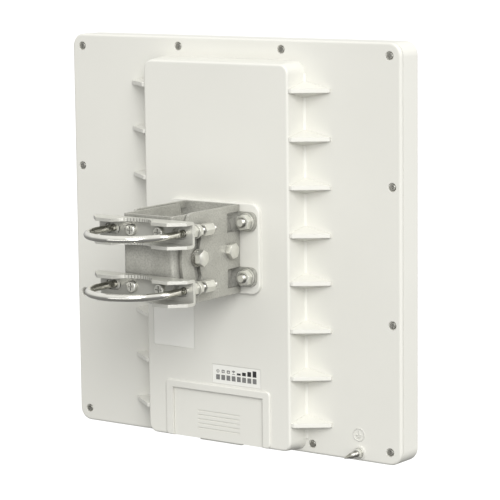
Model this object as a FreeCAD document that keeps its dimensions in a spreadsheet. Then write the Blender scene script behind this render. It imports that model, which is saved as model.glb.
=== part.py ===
import FreeCAD, Part
import math
import os

import Sketcher

# Flat panel radio antenna on a tilting pole bracket, millimetres.
# Origin: on the pole's axis, midway between the two pole clamps.
# +Y points from the pole to the radome (the beam), +Z up, +X right seen from behind.

doc = FreeCAD.newDocument("PanelAntenna")

# ---------------------------------------------------------------- dimensions
DIMENSIONS = [
    # pole clamp
    ("grip_radius", 24.2, "saddle recess, for a 48.3 mm pipe"),
    ("seat_gap", 6.0, "recess bottom to saddle web"),
    ("sheet", 3.0, "bracket and saddle sheet thickness"),
    ("saddle_lap", 13.0, "U-bolt leg to saddle end"),
    ("saddle_height", 23.4, "saddle channel, outside"),
    ("saddle_depth", 23.5, "web's back to flange edge"),
    ("saddle_cut", 12.4, "45 degree end cut of a flange"),
    ("clamp_pitch", 50.6, "between the two clamps"),
    ("leg_clear", 7.7, "U-bolt leg to the bracket's cheek"),
    ("rod_radius", 3.2, "U-bolt rod"),
    ("leg_out", 45.3, "U-bolt leg past the front plate"),
    ("leg_tip", 4.5, "U-bolt leg past its end nut"),
    ("end_nut", 13.0, "long end nut on a U-bolt leg"),
    ("slot_shift", 1.5, "U-bolt leg to saddle slot centre"),
    ("slot_run", 17.0, "saddle slot, end to end"),
    ("slot_width", 9.5, "saddle slot, across"),
    ("saddle_screw_gap", 9.4, "saddle screw to the cheek"),
    ("screw_head", 5.2, "saddle screw head radius"),
    ("screw_m6_radius", 3.0, "M6 shank"),
    ("thread_play", 0.05, "radial play of a rod in its nut"),
    # tilt bracket
    ("inner_width", 56.0, "pole-side bracket, outside"),
    ("inner_height", 78.0, "pole-side bracket"),
    ("outer_height", 80.4, "antenna-side bracket"),
    ("cheek_gap", 0.3, "between the two brackets' cheeks"),
    ("bend_radius", 4.0, "outside bend of the pole-side bracket"),
    ("pivot_reach", 79.5, "front plate to tilt pivot"),
    ("base_reach", 13.3, "tilt pivot to base plate"),
    ("slot_arc", 50.5, "tilt slot's radius about the pivot"),
    ("slot_half_width", 4.3, "tilt slot, half across"),
    ("tilt_limit", 20.0, "tilt each way, degrees"),
    ("cheek_radius", 71.5, "cheek's rounded edge about the pivot"),
    ("bolt_radius", 4.0, "M8 shank"),
    ("pivot_play", 0.05, "running fit at the pivot"),
    ("hex_m8", 13.0, "M8 across flats"),
    ("hex_m6", 10.0, "M6 across flats"),
    ("head_m8", 5.3, "M8 head height"),
    ("nut_m8", 6.5, "M8 nut height"),
    ("nut_m6", 5.2, "M6 nut height"),
    ("washer", 1.6, "flat washer thickness"),
    ("spring_washer", 2.1, "lock bolt's spring washer"),
    ("stud_clear", 9.2, "mounting stud to the cheek"),
    ("stud_half_z", 25.3, "mounting stud, up and down"),
    ("ear_lap", 8.8, "mounting stud to the ear's outer edge"),
    ("ear_half", 8.7, "ear's half height"),
    ("ear_round", 6.5, "ear's corner radius"),
    ("notch_depth", 17.3, "cheek notch left by an ear"),
    ("stud_out", 3.0, "thread showing past the nut"),
    # housing
    ("panel_width", 370.0, "housing width"),
    ("panel_height", 376.0, "housing height"),
    ("panel_depth", 30.5, "flange plane to radome front"),
    ("panel_corner", 12.0, "housing corner radius"),
    ("cover_wall", 3.5, "rear cover flange thickness"),
    ("seal", 0.8, "gasket thickness"),
    ("radome_wall", 3.0, "radome side wall"),
    ("radome_face", 2.5, "radome front wall"),
    ("tongue", 2.2, "rear cover tongue thickness"),
    ("tongue_height", 4.0, "rear cover tongue height"),
    ("fit_gap", 0.3, "gap between housing halves"),
    ("box_half", 83.4, "radio box half width at its foot"),
    ("box_drop", 18.4, "housing top to radio box top"),
    ("box_lift", 2.4, "housing bottom to radio box bottom"),
    ("box_depth", 23.2, "radio box height over the flange"),
    ("box_taper", 5.6, "radio box draft, degrees"),
    ("box_corner", 11.0, "radio box corner radius"),
    ("box_wall", 2.6, "radio box rear wall"),
    ("pad_lap", 2.2, "mounting pad past the ear"),
    ("pad_half_z", 41.5, "mounting pad half height"),
    ("pad_rise", 4.0, "mounting pad height"),
    ("pad_corner", 9.5, "mounting pad corner radius"),
    ("rib_run", 28.2, "gusset tip from the box's foot"),
    ("rib_drop", 27.5, "box top to the first gusset's underside"),
    ("rib_lift", 24.88, "box bottom to the last gusset's underside"),
    ("rib_thick", 3.6, "gusset thickness at its free edge"),
    ("rib_swell", 5.4, "gusset's extra thickness at its root, each way"),
    ("rib_tip", 2.0, "gusset's height at its tip"),
    ("foot_blend", 1.7, "blend at the foot of the box's sides"),
    ("rib_count", 8, "gussets on a side"),
    # cover screws
    ("corner_inset", 11.6, "corner screw from both edges"),
    ("edge_inset", 9.0, "edge screw from its edge"),
    ("top_screw", 58.2, "top edge screw from the middle"),
    ("side_screw", 61.4, "side edge screw from the middle"),
    ("low_screw_gap", 6.2, "bottom edge screw to the box's foot"),
    ("cover_screw", 1.5, "cover screw shank radius"),
    ("cover_head", 3.1, "cover screw head radius"),
    ("cover_sink", 4.0, "cover screw recess radius"),
    # hatch
    ("hatch_half", 51.6, "hatch opening half width"),
    ("hatch_height", 48.5, "hatch opening, top to box bottom"),
    ("bead_width", 8.0, "hatch bead width"),
    ("bead_rise", 1.6, "hatch bead height"),
    ("hatch_sink", 0.8, "hatch below the box face"),
    ("hatch_thick", 2.6, "hatch thickness"),
    ("bay_half", 48.8, "cable bay half width"),
    ("bay_depth", 14.5, "cable bay depth from the box face"),
    ("hatch_gap", 0.25, "gap round the hatch"),
    ("grommet_half", 24.0, "cable grommet half width"),
    ("cable_hole", 3.0, "cable hole radius"),
    ("cable_half", 11.0, "cable hole from the middle plane"),
    # labels
    ("led_left", -5.9, "status label left edge"),
    ("led_right", 48.8, "status label right edge"),
    ("led_gap", 8.6, "hatch opening to status label"),
    ("led_height", 17.7, "status label height"),
    ("led_first", 0.5, "first status light"),
    ("led_pitch", 5.93, "status light spacing"),
    ("led_size", 4.2, "status light width"),
    ("led_rise", 6.0, "label bottom to status lights"),
    ("label_sink", 0.4, "label recess depth"),
    ("plate_left", 73.8, "blank label's far edge"),
    ("plate_right", 26.3, "blank label's near edge"),
    ("plate_gap", 9.0, "mounting pad to blank label"),
    ("plate_height", 48.4, "blank label height"),
    # earth point
    ("earth_inset_x", 44.0, "earth stud from the side edge"),
    ("earth_inset_z", 7.5, "earth stud from the bottom edge"),
    ("earth_head", 4.0, "earth stud head radius"),
    ("earth_radius", 2.5, "earth stud, M5"),
    ("earth_out", 25.0, "earth stud past the flange"),
    ("mark_inset_x", 44.8, "earth mark from the side edge"),
    ("mark_inset_z", 24.0, "earth mark from the bottom edge"),
    ("mark_radius", 6.1, "earth mark radius"),
    # inside
    ("board_lift", 11.4, "box rear wall to radio board"),
    ("board_thick", 1.6, "circuit board thickness"),
    ("reflector_inset", 18.0, "housing edge to reflector edge"),
    ("reflector_lift", 4.3, "flange front to reflector"),
    ("reflector_thick", 1.5, "reflector thickness"),
    ("array_lift", 6.0, "reflector to array board"),
    ("patch_size", 17.0, "patch element side"),
    ("patch_inset_x", 27.0, "reflector side to the outer patches' centres"),
    ("patch_inset_z", 30.0, "reflector end to the outer patches' centres"),
    ("patch_rows", 8, "patch elements on a side"),
]

sheet = doc.addObject("Spreadsheet::Sheet", "Dims")
sheet.Label = "Dims"
for row, (alias, value, note) in enumerate(DIMENSIONS, 1):
    sheet.set(f"A{row}", alias)
    sheet.set(f"B{row}", str(value))
    sheet.set(f"C{row}", note)
    sheet.setAlias(f"B{row}", alias)
doc.recompute()


class Size:
    """A length that knows its number and its formula over the sheet's cells."""

    def __init__(self, value, text):
        self.value = float(value)
        self.text = text

    @staticmethod
    def of(other):
        if isinstance(other, Size):
            return other
        return Size(other, f"{float(other):.6f}" if other >= 0 else f"(0 - {-float(other):.6f})")

    def __add__(self, other):
        other = Size.of(other)
        return Size(self.value + other.value, f"({self.text} + {other.text})")

    def __radd__(self, other):
        return Size.of(other) + self

    def __sub__(self, other):
        other = Size.of(other)
        return Size(self.value - other.value, f"({self.text} - {other.text})")

    def __rsub__(self, other):
        return Size.of(other) - self

    def __mul__(self, other):
        other = Size.of(other)
        return Size(self.value * other.value, f"({self.text} * {other.text})")

    def __rmul__(self, other):
        return Size.of(other) * self

    def __truediv__(self, other):
        other = Size.of(other)
        return Size(self.value / other.value, f"({self.text} / {other.text})")

    def __neg__(self):
        return Size(-self.value, f"(0 - {self.text})")


def cosine(angle):
    angle = Size.of(angle)
    return Size(math.cos(math.radians(angle.value)), f"cos({angle.text} * 1 deg)")


def sine(angle):
    angle = Size.of(angle)
    return Size(math.sin(math.radians(angle.value)), f"sin({angle.text} * 1 deg)")


def root(size):
    return Size(math.sqrt(size.value), f"sqrt({size.text})")


class Sheet:
    """Attribute access to the driving dimensions."""

    def __getattr__(self, alias):
        return Size(sheet.get(alias), f"Dims.{alias}")


d = Sheet()

# ---------------------------------------------------------------- helpers
PARTS = []


def bind(item, path, size):
    item.setExpression(path, Size.of(size).text)


def new_body(label):
    body = doc.addObject("PartDesign::Body", label)
    body.Label = label
    body.AllowCompound = True
    PARTS.append(body)
    return body


def plane_of(body, plane):
    for feature in body.Origin.OriginFeatures:
        if feature.Role == f"{plane}_Plane":
            return feature
    raise ValueError(plane)


def sketch_on(body, name, plane, at=0.0):
    """Sketch on a plane of the body's origin, moved to `at` along the plane's own axis."""
    item = body.newObject("Sketcher::SketchObject", f"{body.Name}_{name}")
    item.AttachmentSupport = [(plane_of(body, plane), "")]
    item.MapMode = "FlatFace"
    at = Size.of(at)
    along = -at if plane == "XZ" else at
    item.AttachmentOffset = FreeCAD.Placement(
        FreeCAD.Vector(0, 0, along.value), FreeCAD.Rotation()
    )
    bind(item, ".AttachmentOffset.Base.z", along)
    return item


def pin_point(sketch, geo, point, x, y):
    for size, kind, axis in ((Size.of(x), "DistanceX", -2), (Size.of(y), "DistanceY", -1)):
        if abs(size.value) < 1e-9:
            sketch.addConstraint(Sketcher.Constraint("PointOnObject", geo, point, axis))
            continue
        index = sketch.addConstraint(Sketcher.Constraint(kind, -1, 1, geo, point, size.value))
        bind(sketch, f"Constraints[{index}]", size)


def pin_radius(sketch, geo, radius):
    radius = Size.of(radius)
    index = sketch.addConstraint(Sketcher.Constraint("Radius", geo, radius.value))
    bind(sketch, f"Constraints[{index}]", radius)


def vector(x, y):
    return FreeCAD.Vector(Size.of(x).value, Size.of(y).value, 0)


def polygon(sketch, points):
    first = None
    for index, (x, y) in enumerate(points):
        nx, ny = points[(index + 1) % len(points)]
        geo = sketch.addGeometry(Part.LineSegment(vector(x, y), vector(nx, ny)), False)
        if first is None:
            first = geo
    for index, (x, y) in enumerate(points):
        here = first + index
        after = first + (index + 1) % len(points)
        sketch.addConstraint(Sketcher.Constraint("Coincident", here, 2, after, 1))
    for index, (x, y) in enumerate(points):
        pin_point(sketch, first + index, 1, x, y)


def rectangle(sketch, left, right, low, high):
    polygon(sketch, [(left, low), (right, low), (right, high), (left, high)])


def circle(sketch, x, y, radius):
    geo = sketch.addGeometry(
        Part.Circle(vector(x, y), FreeCAD.Vector(0, 0, 1), Size.of(radius).value), False
    )
    pin_point(sketch, geo, 3, x, y)
    pin_radius(sketch, geo, radius)


def rounded(sketch, left, right, low, high, radius):
    """Rectangle with four rounded corners."""
    left, right, low, high, radius = [Size.of(v) for v in (left, right, low, high, radius)]
    corners = [
        (right - radius, low + radius, -90),
        (right - radius, high - radius, 0),
        (left + radius, high - radius, 90),
        (left + radius, low + radius, 180),
    ]
    up = FreeCAD.Vector(0, 0, 1)
    arcs = []
    for cx, cy, start in corners:
        round_edge = Part.Circle(vector(cx, cy), up, radius.value)
        arcs.append(
            sketch.addGeometry(
                Part.ArcOfCircle(round_edge, math.radians(start), math.radians(start + 90)), False
            )
        )
    lines = []
    ends = [
        ((left + radius, low), (right - radius, low)),
        ((right, low + radius), (right, high - radius)),
        ((right - radius, high), (left + radius, high)),
        ((left, high - radius), (left, low + radius)),
    ]
    for (ax, ay), (bx, by) in ends:
        lines.append(sketch.addGeometry(Part.LineSegment(vector(ax, ay), vector(bx, by)), False))
    for index in range(4):
        sketch.addConstraint(Sketcher.Constraint("Tangent", lines[index], 2, arcs[index], 1))
        after = lines[(index + 1) % 4]
        sketch.addConstraint(Sketcher.Constraint("Tangent", arcs[index], 2, after, 1))
    for index, (cx, cy, _) in enumerate(corners):
        pin_point(sketch, arcs[index], 3, cx, cy)
        pin_radius(sketch, arcs[index], radius)


def hexagon(sketch, x, y, flats, turn=0.0):
    reach = Size.of(flats) * 0.57735027
    points = []
    for index in range(6):
        angle = math.radians(turn + 60 * index)
        points.append((x + reach * math.cos(angle), y + reach * math.sin(angle)))
    polygon(sketch, points)


def extrude(body, kind, name, sketch, plane, length, way, taper=None):
    before = body.Tip.Shape.Volume if body.Tip is not None else 0.0
    item = body.newObject(f"PartDesign::{kind}", f"{body.Name}_{name}")
    item.Profile = sketch
    item.Length = Size.of(length).value
    bind(item, "Length", length)
    along_normal = way > 0 if plane != "XZ" else way < 0
    item.Reversed = along_normal if kind == "Pocket" else not along_normal
    if taper is not None:
        item.TaperAngle = Size.of(taper).value
        bind(item, "TaperAngle", taper)
    doc.recompute()
    after = item.Shape.Volume
    if kind == "Pad" and after <= before + 1e-6:
        raise RuntimeError(f"{body.Label} {name} added nothing")
    if kind == "Pocket" and after >= before - 1e-6:
        raise RuntimeError(f"{body.Label} {name} removed nothing")
    return item


def pad(body, name, sketch, plane, length, way, taper=None):
    return extrude(body, "Pad", name, sketch, plane, length, way, taper)


def pocket(body, name, sketch, plane, length, way):
    return extrude(body, "Pocket", name, sketch, plane, length, way)


def edge_blend(body, kind, name, size, wanted):
    """Fillet or chamfer every edge of the tip that `wanted` accepts."""
    doc.recompute()
    tip = body.Tip
    names = [f"Edge{i}" for i, edge in enumerate(tip.Shape.Edges, 1) if wanted(edge)]
    if not names:
        raise RuntimeError(f"{body.Label} {name} found no edge")
    item = body.newObject(f"PartDesign::{kind}", f"{body.Name}_{name}")
    item.Base = (tip, names)
    path = "Radius" if kind == "Fillet" else "Size"
    setattr(item, path, Size.of(size).value)
    bind(item, path, size)
    doc.recompute()
    return item


def on_plane(edge, axis, value, tolerance=1e-4):
    """Whether the whole edge lies where the axis has the value."""
    box = edge.BoundBox
    low = {"x": box.XMin, "y": box.YMin, "z": box.ZMin}[axis]
    high = {"x": box.XMax, "y": box.YMax, "z": box.ZMax}[axis]
    return abs(low - value) < tolerance and abs(high - value) < tolerance


def within(edge, x=None, y=None, z=None):
    box = edge.BoundBox
    spans = ((x, box.XMin, box.XMax), (y, box.YMin, box.YMax), (z, box.ZMin, box.ZMax))
    for limit, low, high in spans:
        if limit is not None and (low < limit[0] - 1e-4 or high > limit[1] + 1e-4):
            return False
    return True


# ---------------------------------------------------------------- stations along the beam
web_front = d.grip_radius + d.seat_gap
plate_front = web_front + d.sheet
pivot_y = plate_front + d.pivot_reach
lock_y = pivot_y - d.slot_arc
base_front = pivot_y + d.base_reach
pad_face = base_front + d.sheet
box_face = pad_face + d.pad_rise
flange = box_face + d.box_depth
flange_front = flange + d.cover_wall
radome_edge = flange_front + d.seal
radome_front = flange + d.panel_depth
half_w = d.panel_width / 2
half_h = d.panel_height / 2
clamp_z = d.clamp_pitch / 2
outer_in = d.inner_width / 2 + d.cheek_gap
outer_out = outer_in + d.sheet
inner_out = d.inner_width / 2
inner_in = inner_out - d.sheet
leg_half = outer_out + d.leg_clear
leg_end = plate_front + d.leg_out
saddle_screw_half = inner_in - d.saddle_screw_gap
stud_half_x = outer_out + d.stud_clear
ear_end = stud_half_x + d.ear_lap
pad_half_x = ear_end + d.pad_lap
box_top = half_h - d.box_drop
box_bottom = half_h - d.box_lift
hatch_top = box_bottom - d.hatch_height
led_low = hatch_top - d.led_gap
led_high = led_low - d.led_height
led_row = led_low - d.led_rise
plate_high = d.pad_half_z + d.plate_gap
plate_low = plate_high + d.plate_height
rib_reach = d.box_half + d.rib_run
foot_rise = d.foot_blend * cosine(d.box_taper)
rib_first = box_top - d.rib_drop
rib_span = rib_first + box_bottom - d.rib_lift
low_screw = d.box_half + d.low_screw_gap
earth_x = half_w - d.earth_inset_x
earth_z = half_h - d.earth_inset_z
mark_x = half_w - d.mark_inset_x
mark_z = half_h - d.mark_inset_z
reflector_half_x = half_w - d.reflector_inset
reflector_half_z = half_h - d.reflector_inset
patch_first_x = reflector_half_x - d.patch_inset_x
patch_first_z = reflector_half_z - d.patch_inset_z
stud_spots = [(sx * stud_half_x, sz * d.stud_half_z) for sx in (-1, 1) for sz in (-1, 1)]
leg_spots = [(sx * leg_half, sz * clamp_z) for sx in (-1, 1) for sz in (-1, 1)]
screw_spots = [(sx * saddle_screw_half, sz * clamp_z) for sx in (-1, 1) for sz in (-1, 1)]


# ---------------------------------------------------------------- fasteners on the beam axis
def rings(label, spots, outer, bore, start, length, way=1):
    """Flat washers or sleeves, one at each spot."""
    body = new_body(label)
    item = sketch_on(body, "ring", "XZ", start)
    for x, z in spots:
        circle(item, x, z, outer)
        circle(item, x, z, bore)
    pad(body, "body", item, "XZ", length, way)
    return body


def nuts(label, spots, flats, bore, start, length, way=1, turn=0.0):
    body = new_body(label)
    item = sketch_on(body, "hex", "XZ", start)
    for x, z in spots:
        hexagon(item, x, z, flats, turn)
        circle(item, x, z, bore)
    pad(body, "body", item, "XZ", length, way)
    return body


def pins(body, name, spots, radius, start, length, way):
    item = sketch_on(body, name, "XZ", start)
    for x, z in spots:
        circle(item, x, z, radius)
    pad(body, f"{name}_pad", item, "XZ", length, way)


# ---------------------------------------------------------------- saddles
def saddle(label, middle):
    """Sheet channel whose flanges are cut to an arc that grips the pole."""
    body = new_body(label)
    half = leg_half + d.saddle_lap
    edge = plate_front - d.saddle_depth
    chord = root(d.grip_radius * d.grip_radius - edge * edge)
    low = middle - d.saddle_height / 2
    outline = sketch_on(body, "outline", "XY", low)
    corner = edge + d.saddle_cut
    straight = half - d.saddle_cut
    left = [(-chord, edge), (-straight, edge), (-half, corner), (-half, plate_front)]
    right = [(half, plate_front), (half, corner), (straight, edge), (chord, edge)]
    points = left + right
    lines = []
    for (ax, ay), (bx, by) in zip(points, points[1:]):
        lines.append(outline.addGeometry(Part.LineSegment(vector(ax, ay), vector(bx, by)), False))
    start = math.atan2(edge.value, chord.value)
    grip = Part.Circle(vector(0, 0), FreeCAD.Vector(0, 0, 1), d.grip_radius.value)
    arc = outline.addGeometry(Part.ArcOfCircle(grip, start, math.pi - start), False)
    for before, after in zip(lines, lines[1:]):
        outline.addConstraint(Sketcher.Constraint("Coincident", before, 2, after, 1))
    outline.addConstraint(Sketcher.Constraint("Coincident", lines[-1], 2, arc, 1))
    outline.addConstraint(Sketcher.Constraint("Coincident", arc, 2, lines[0], 1))
    outline.addConstraint(Sketcher.Constraint("Coincident", arc, 3, -1, 1))
    for line, (x, y) in list(zip(lines, points))[1:]:
        pin_point(outline, line, 1, x, y)
    pin_radius(outline, arc, d.grip_radius)
    sketch_y = edge
    index = outline.addConstraint(
        Sketcher.Constraint("DistanceY", -1, 1, lines[0], 1, sketch_y.value)
    )
    bind(outline, f"Constraints[{index}]", sketch_y)
    index = outline.addConstraint(
        Sketcher.Constraint("DistanceY", -1, 1, lines[-1], 2, sketch_y.value)
    )
    bind(outline, f"Constraints[{index}]", sketch_y)
    pad(body, "block", outline, "XY", d.saddle_height, 1)
    channel = sketch_on(body, "channel", "XZ", web_front)
    span = half + 2
    reach = d.saddle_height / 2 - d.sheet
    rectangle(channel, -span, span, middle - reach, middle + reach)
    pocket(body, "channel_cut", channel, "XZ", d.saddle_depth + 2, -1)
    back = plate_front.value
    edge_blend(body, "Fillet", "bend", 3.4, lambda e: on_plane(e, "y", back) and e.Length > 50)
    holes = sketch_on(body, "holes", "XZ", plate_front + 0.5)
    for side in (-1, 1):
        centre = side * (leg_half - d.slot_shift)
        run = d.slot_run / 2
        wide = d.slot_width / 2
        tall = (middle - wide, middle + wide)
        rounded(holes, centre - run, centre + run, tall[0], tall[1], wide - 0.05)
        circle(holes, side * saddle_screw_half, middle, d.screw_m6_radius + 0.3)
    pocket(body, "holes_cut", holes, "XZ", d.sheet + 1.0, -1)
    tooth = sketch_on(body, "tooth", "XY", low - 0.5)
    first = -38.0
    a = math.radians(90 + first)
    ring = d.grip_radius
    cells = []
    for reach_out, side in ((-0.6, -0.3), (0.9, -0.3), (0.9, 0.3), (-0.6, 0.3)):
        radius = ring + reach_out
        cells.append(
            (radius * math.cos(a) - side * math.sin(a), radius * math.sin(a) + side * math.cos(a))
        )
    polygon(tooth, cells)
    notch = pocket(body, "tooth_cut", tooth, "XY", d.saddle_height + 1.0, 1)
    teeth = body.newObject("PartDesign::PolarPattern", f"{label}_teeth")
    teeth.Originals = [notch]
    axis = [f for f in body.Origin.OriginFeatures if f.Role == "Z_Axis"][0]
    teeth.Axis = (axis, [""])
    teeth.Angle = 76.0
    teeth.Occurrences = 12
    body.Tip = teeth
    doc.recompute()
    return body


saddle("saddle_upper", clamp_z)
saddle("saddle_lower", -clamp_z)

# pan-head screws that hold the saddles, heads towards the pole
screws = new_body("saddle_screws")
pins(screws, "heads", screw_spots, d.screw_head, web_front, 3.2, -1)
edge_blend(
    screws, "Fillet", "crown", 1.4, lambda e: on_plane(e, "y", web_front.value - 3.2)
)
pins(screws, "shanks", screw_spots, d.screw_m6_radius, web_front - 0.5, 14.0, 1)
for tag, wide, tall in (("slot", 3.4, 0.6), ("cross", 0.6, 3.4)):
    drive = sketch_on(screws, tag, "XZ", web_front - 3.3)
    for x, z in screw_spots:
        rectangle(drive, x - wide, x + wide, z - tall, z + tall)
    pocket(screws, f"{tag}_cut", drive, "XZ", 1.6, 1)
nuts(
    "saddle_nuts",
    screw_spots,
    d.hex_m6,
    d.screw_m6_radius + d.thread_play,
    plate_front + d.sheet,
    d.nut_m6,
)

# ---------------------------------------------------------------- pole-side bracket
body = new_body("inner_bracket")
tall = d.inner_height / 2
plan = sketch_on(body, "front", "XZ", plate_front)
rectangle(plan, -inner_out, inner_out, -tall, tall)
pad(body, "front_plate", plan, "XZ", d.sheet, 1)
slope = sine(d.tilt_limit)
swing = d.base_reach - 0.8
nose = 11.2
# the cheek's far end clears the base plate at full tilt
top_y = pivot_y + (swing - slope * tall) / cosine(d.tilt_limit)
nose_z = (swing - cosine(d.tilt_limit) * nose) / slope
cheek = [
    (plate_front, -tall),
    (top_y, -tall),
    (pivot_y + nose, -nose_z),
    (pivot_y + nose, nose_z),
    (top_y, tall),
    (plate_front, tall),
]
for side in (-1, 1):
    web = sketch_on(body, f"cheek{side + 1}", "YZ", side * inner_in)
    polygon(web, cheek)
    pad(body, f"cheek{side + 1}_pad", web, "YZ", d.sheet, side)
edge_blend(
    body,
    "Fillet",
    "bends",
    d.bend_radius,
    lambda e: on_plane(e, "y", plate_front.value) and e.BoundBox.XLength < 0.01 and e.Length > 30,
)
edge_blend(
    body,
    "Fillet",
    "inside_bends",
    1.2,
    lambda e: on_plane(e, "y", plate_front.value + d.sheet.value)
    and e.BoundBox.XLength < 0.01
    and e.Length > 30,
)
item = sketch_on(body, "screw_holes", "XZ", plate_front - 0.5)
for x, z in screw_spots:
    circle(item, x, z, d.screw_m6_radius + 0.3)
pocket(body, "screw_holes_cut", item, "XZ", d.sheet + 1.0, 1)
item = sketch_on(body, "bolt_holes", "YZ", -(inner_out + 1))
circle(item, pivot_y, 0, d.bolt_radius + d.pivot_play)
circle(item, lock_y, 0, d.bolt_radius + 0.3)
pocket(body, "bolt_holes_cut", item, "YZ", d.inner_width + 2, 1)

# ---------------------------------------------------------------- antenna-side bracket
body = new_body("outer_bracket")
tall = d.outer_height / 2
plan = sketch_on(body, "base", "XZ", base_front)
rectangle(plan, -outer_out, outer_out, -tall, tall)
pad(body, "base_plate", plan, "XZ", d.sheet, 1)
limit = root(d.cheek_radius * d.cheek_radius - tall * tall)
for side in (-1, 1):
    web = sketch_on(body, f"cheek{side + 1}", "YZ", side * outer_in)
    corner_y = pivot_y - limit
    back = base_front + d.sheet
    points = [(corner_y, -tall), (back, -tall), (back, tall), (corner_y, tall)]
    lines = []
    for (ay, az), (by, bz) in zip(points, points[1:]):
        lines.append(web.addGeometry(Part.LineSegment(vector(ay, az), vector(by, bz)), False))
    turn = math.atan2(tall.value, limit.value)
    ring = Part.Circle(vector(pivot_y, 0), FreeCAD.Vector(0, 0, 1), d.cheek_radius.value)
    arc = web.addGeometry(Part.ArcOfCircle(ring, math.pi - turn, math.pi + turn), False)
    for before, after in zip(lines, lines[1:]):
        web.addConstraint(Sketcher.Constraint("Coincident", before, 2, after, 1))
    web.addConstraint(Sketcher.Constraint("Coincident", lines[-1], 2, arc, 1))
    web.addConstraint(Sketcher.Constraint("Coincident", arc, 2, lines[0], 1))
    pin_point(web, arc, 3, pivot_y, 0)
    pin_radius(web, arc, d.cheek_radius)
    pin_point(web, lines[1], 1, back, -tall)
    pin_point(web, lines[1], 2, back, tall)
    for line, end, size in ((lines[0], 1, -tall), (lines[2], 2, tall)):
        index = web.addConstraint(
            Sketcher.Constraint("DistanceY", -1, 1, line, end, size.value)
        )
        bind(web, f"Constraints[{index}]", size)
    pad(body, f"cheek{side + 1}_pad", web, "YZ", d.sheet, side)
edge_blend(
    body,
    "Fillet",
    "corners",
    6.0,
    lambda e: e.BoundBox.XLength > d.sheet.value - 0.1
    and e.BoundBox.YLength < 0.01
    and e.BoundBox.ZLength < 0.01
    and e.BoundBox.YMax < pivot_y.value - 40,
)
edge_blend(
    body,
    "Fillet",
    "bends",
    2.6,
    lambda e: on_plane(e, "y", base_front.value + d.sheet.value)
    and e.BoundBox.XLength < 0.01
    and e.Length > 30,
)
# ears punched out of the cheeks and bent outwards onto the pad
item = sketch_on(body, "notches", "YZ", -(outer_out + 1))
for side in (-1, 1):
    low = side * d.stud_half_z - d.ear_half
    high = side * d.stud_half_z + d.ear_half
    front = base_front - d.notch_depth
    rectangle(item, front, base_front, low, high)
pocket(body, "notches_cut", item, "YZ", outer_out * 2 + 2, 1)
item = sketch_on(body, "ears", "XZ", base_front)
for sx in (-1, 1):
    for sz in (-1, 1):
        low = sz * d.stud_half_z - d.ear_half
        high = sz * d.stud_half_z + d.ear_half
        near = sx * (outer_out - 4)
        far = sx * ear_end
        if sx > 0:
            rectangle(item, near, far, low, high)
        else:
            rectangle(item, far, near, low, high)
pad(body, "ears_pad", item, "XZ", d.sheet, 1)
edge_blend(
    body,
    "Fillet",
    "ear_rounds",
    d.ear_round,
    lambda e: abs(abs(e.BoundBox.XMin) - ear_end.value) < 0.01
    and e.BoundBox.XLength < 0.01
    and e.BoundBox.ZLength < 0.01,
)
item = sketch_on(body, "stud_holes", "XZ", base_front - 0.5)
for x, z in stud_spots:
    circle(item, x, z, d.bolt_radius + 0.4)
pocket(body, "stud_holes_cut", item, "XZ", d.sheet + 1, 1)
item = sketch_on(body, "pivot_holes", "YZ", -(outer_out + 1))
circle(item, pivot_y, 0, d.bolt_radius + d.pivot_play)
ends = d.slot_arc * cosine(d.tilt_limit)
rise = d.slot_arc * sine(d.tilt_limit)
for side in (-1, 1):
    circle(item, pivot_y - ends, side * rise, d.slot_half_width)
pocket(body, "pivot_holes_cut", item, "YZ", outer_out * 2 + 2, 1)
# arc slots about the pivot
item = sketch_on(body, "slots", "XY", 0)
for side in (-1, 1):
    near = side * (outer_in - 0.1)
    far = side * (outer_out + 0.5)
    low, high = (near, far) if side > 0 else (far, near)
    inner_edge = lock_y + d.slot_half_width
    outer_edge = lock_y - d.slot_half_width
    rectangle(item, low, high, outer_edge, inner_edge)
axle = item.addGeometry(
    Part.LineSegment(vector(-20, pivot_y), vector(20, pivot_y)), True
)
pin_point(item, axle, 1, -20, pivot_y)
pin_point(item, axle, 2, 20, pivot_y)
before = body.Tip.Shape.Volume
groove = body.newObject("PartDesign::Groove", "outer_bracket_slot_cut")
groove.Profile = item
groove.ReferenceAxis = (item, ["Axis0"])
groove.Midplane = True
groove.Angle = d.tilt_limit.value * 2
bind(groove, "Angle", d.tilt_limit * 2)
doc.recompute()
if groove.Shape.Volume >= before:
    raise RuntimeError("tilt slots cut nothing")


# ---------------------------------------------------------------- tilt bolts and their nuts
def cheek_hex(body, tag, y, start, flats, length, side, turn=30.0):
    item = sketch_on(body, f"{tag}{side + 1}", "YZ", side * start)
    hexagon(item, y, Size.of(0.0), flats, turn)
    pad(body, f"{tag}{side + 1}_pad", item, "YZ", length, side)


def cheek_pin(body, tag, y, start, radius, length, side, way):
    item = sketch_on(body, f"{tag}{side + 1}", "YZ", side * start)
    circle(item, y, 0, radius)
    pad(body, f"{tag}{side + 1}_pad", item, "YZ", length, side * way)


def cheek_bolts(label, y, seat, turn):
    body = new_body(label)
    for side in (-1, 1):
        cheek_hex(body, "head", y, seat, d.hex_m8, d.head_m8, side, turn)
        cheek_pin(body, "shank", y, seat + 0.5, d.bolt_radius, seat - inner_in + 10.0, side, -1)
    return body


def cheek_nuts(label, y):
    body = new_body(label)
    for side in (-1, 1):
        item = sketch_on(body, f"nut{side + 1}", "YZ", side * inner_in)
        hexagon(item, y, Size.of(0.0), d.hex_m8, 0.0)
        circle(item, y, 0, d.bolt_radius + d.thread_play)
        pad(body, f"nut{side + 1}_pad", item, "YZ", d.nut_m8, -side)
    return body


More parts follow.
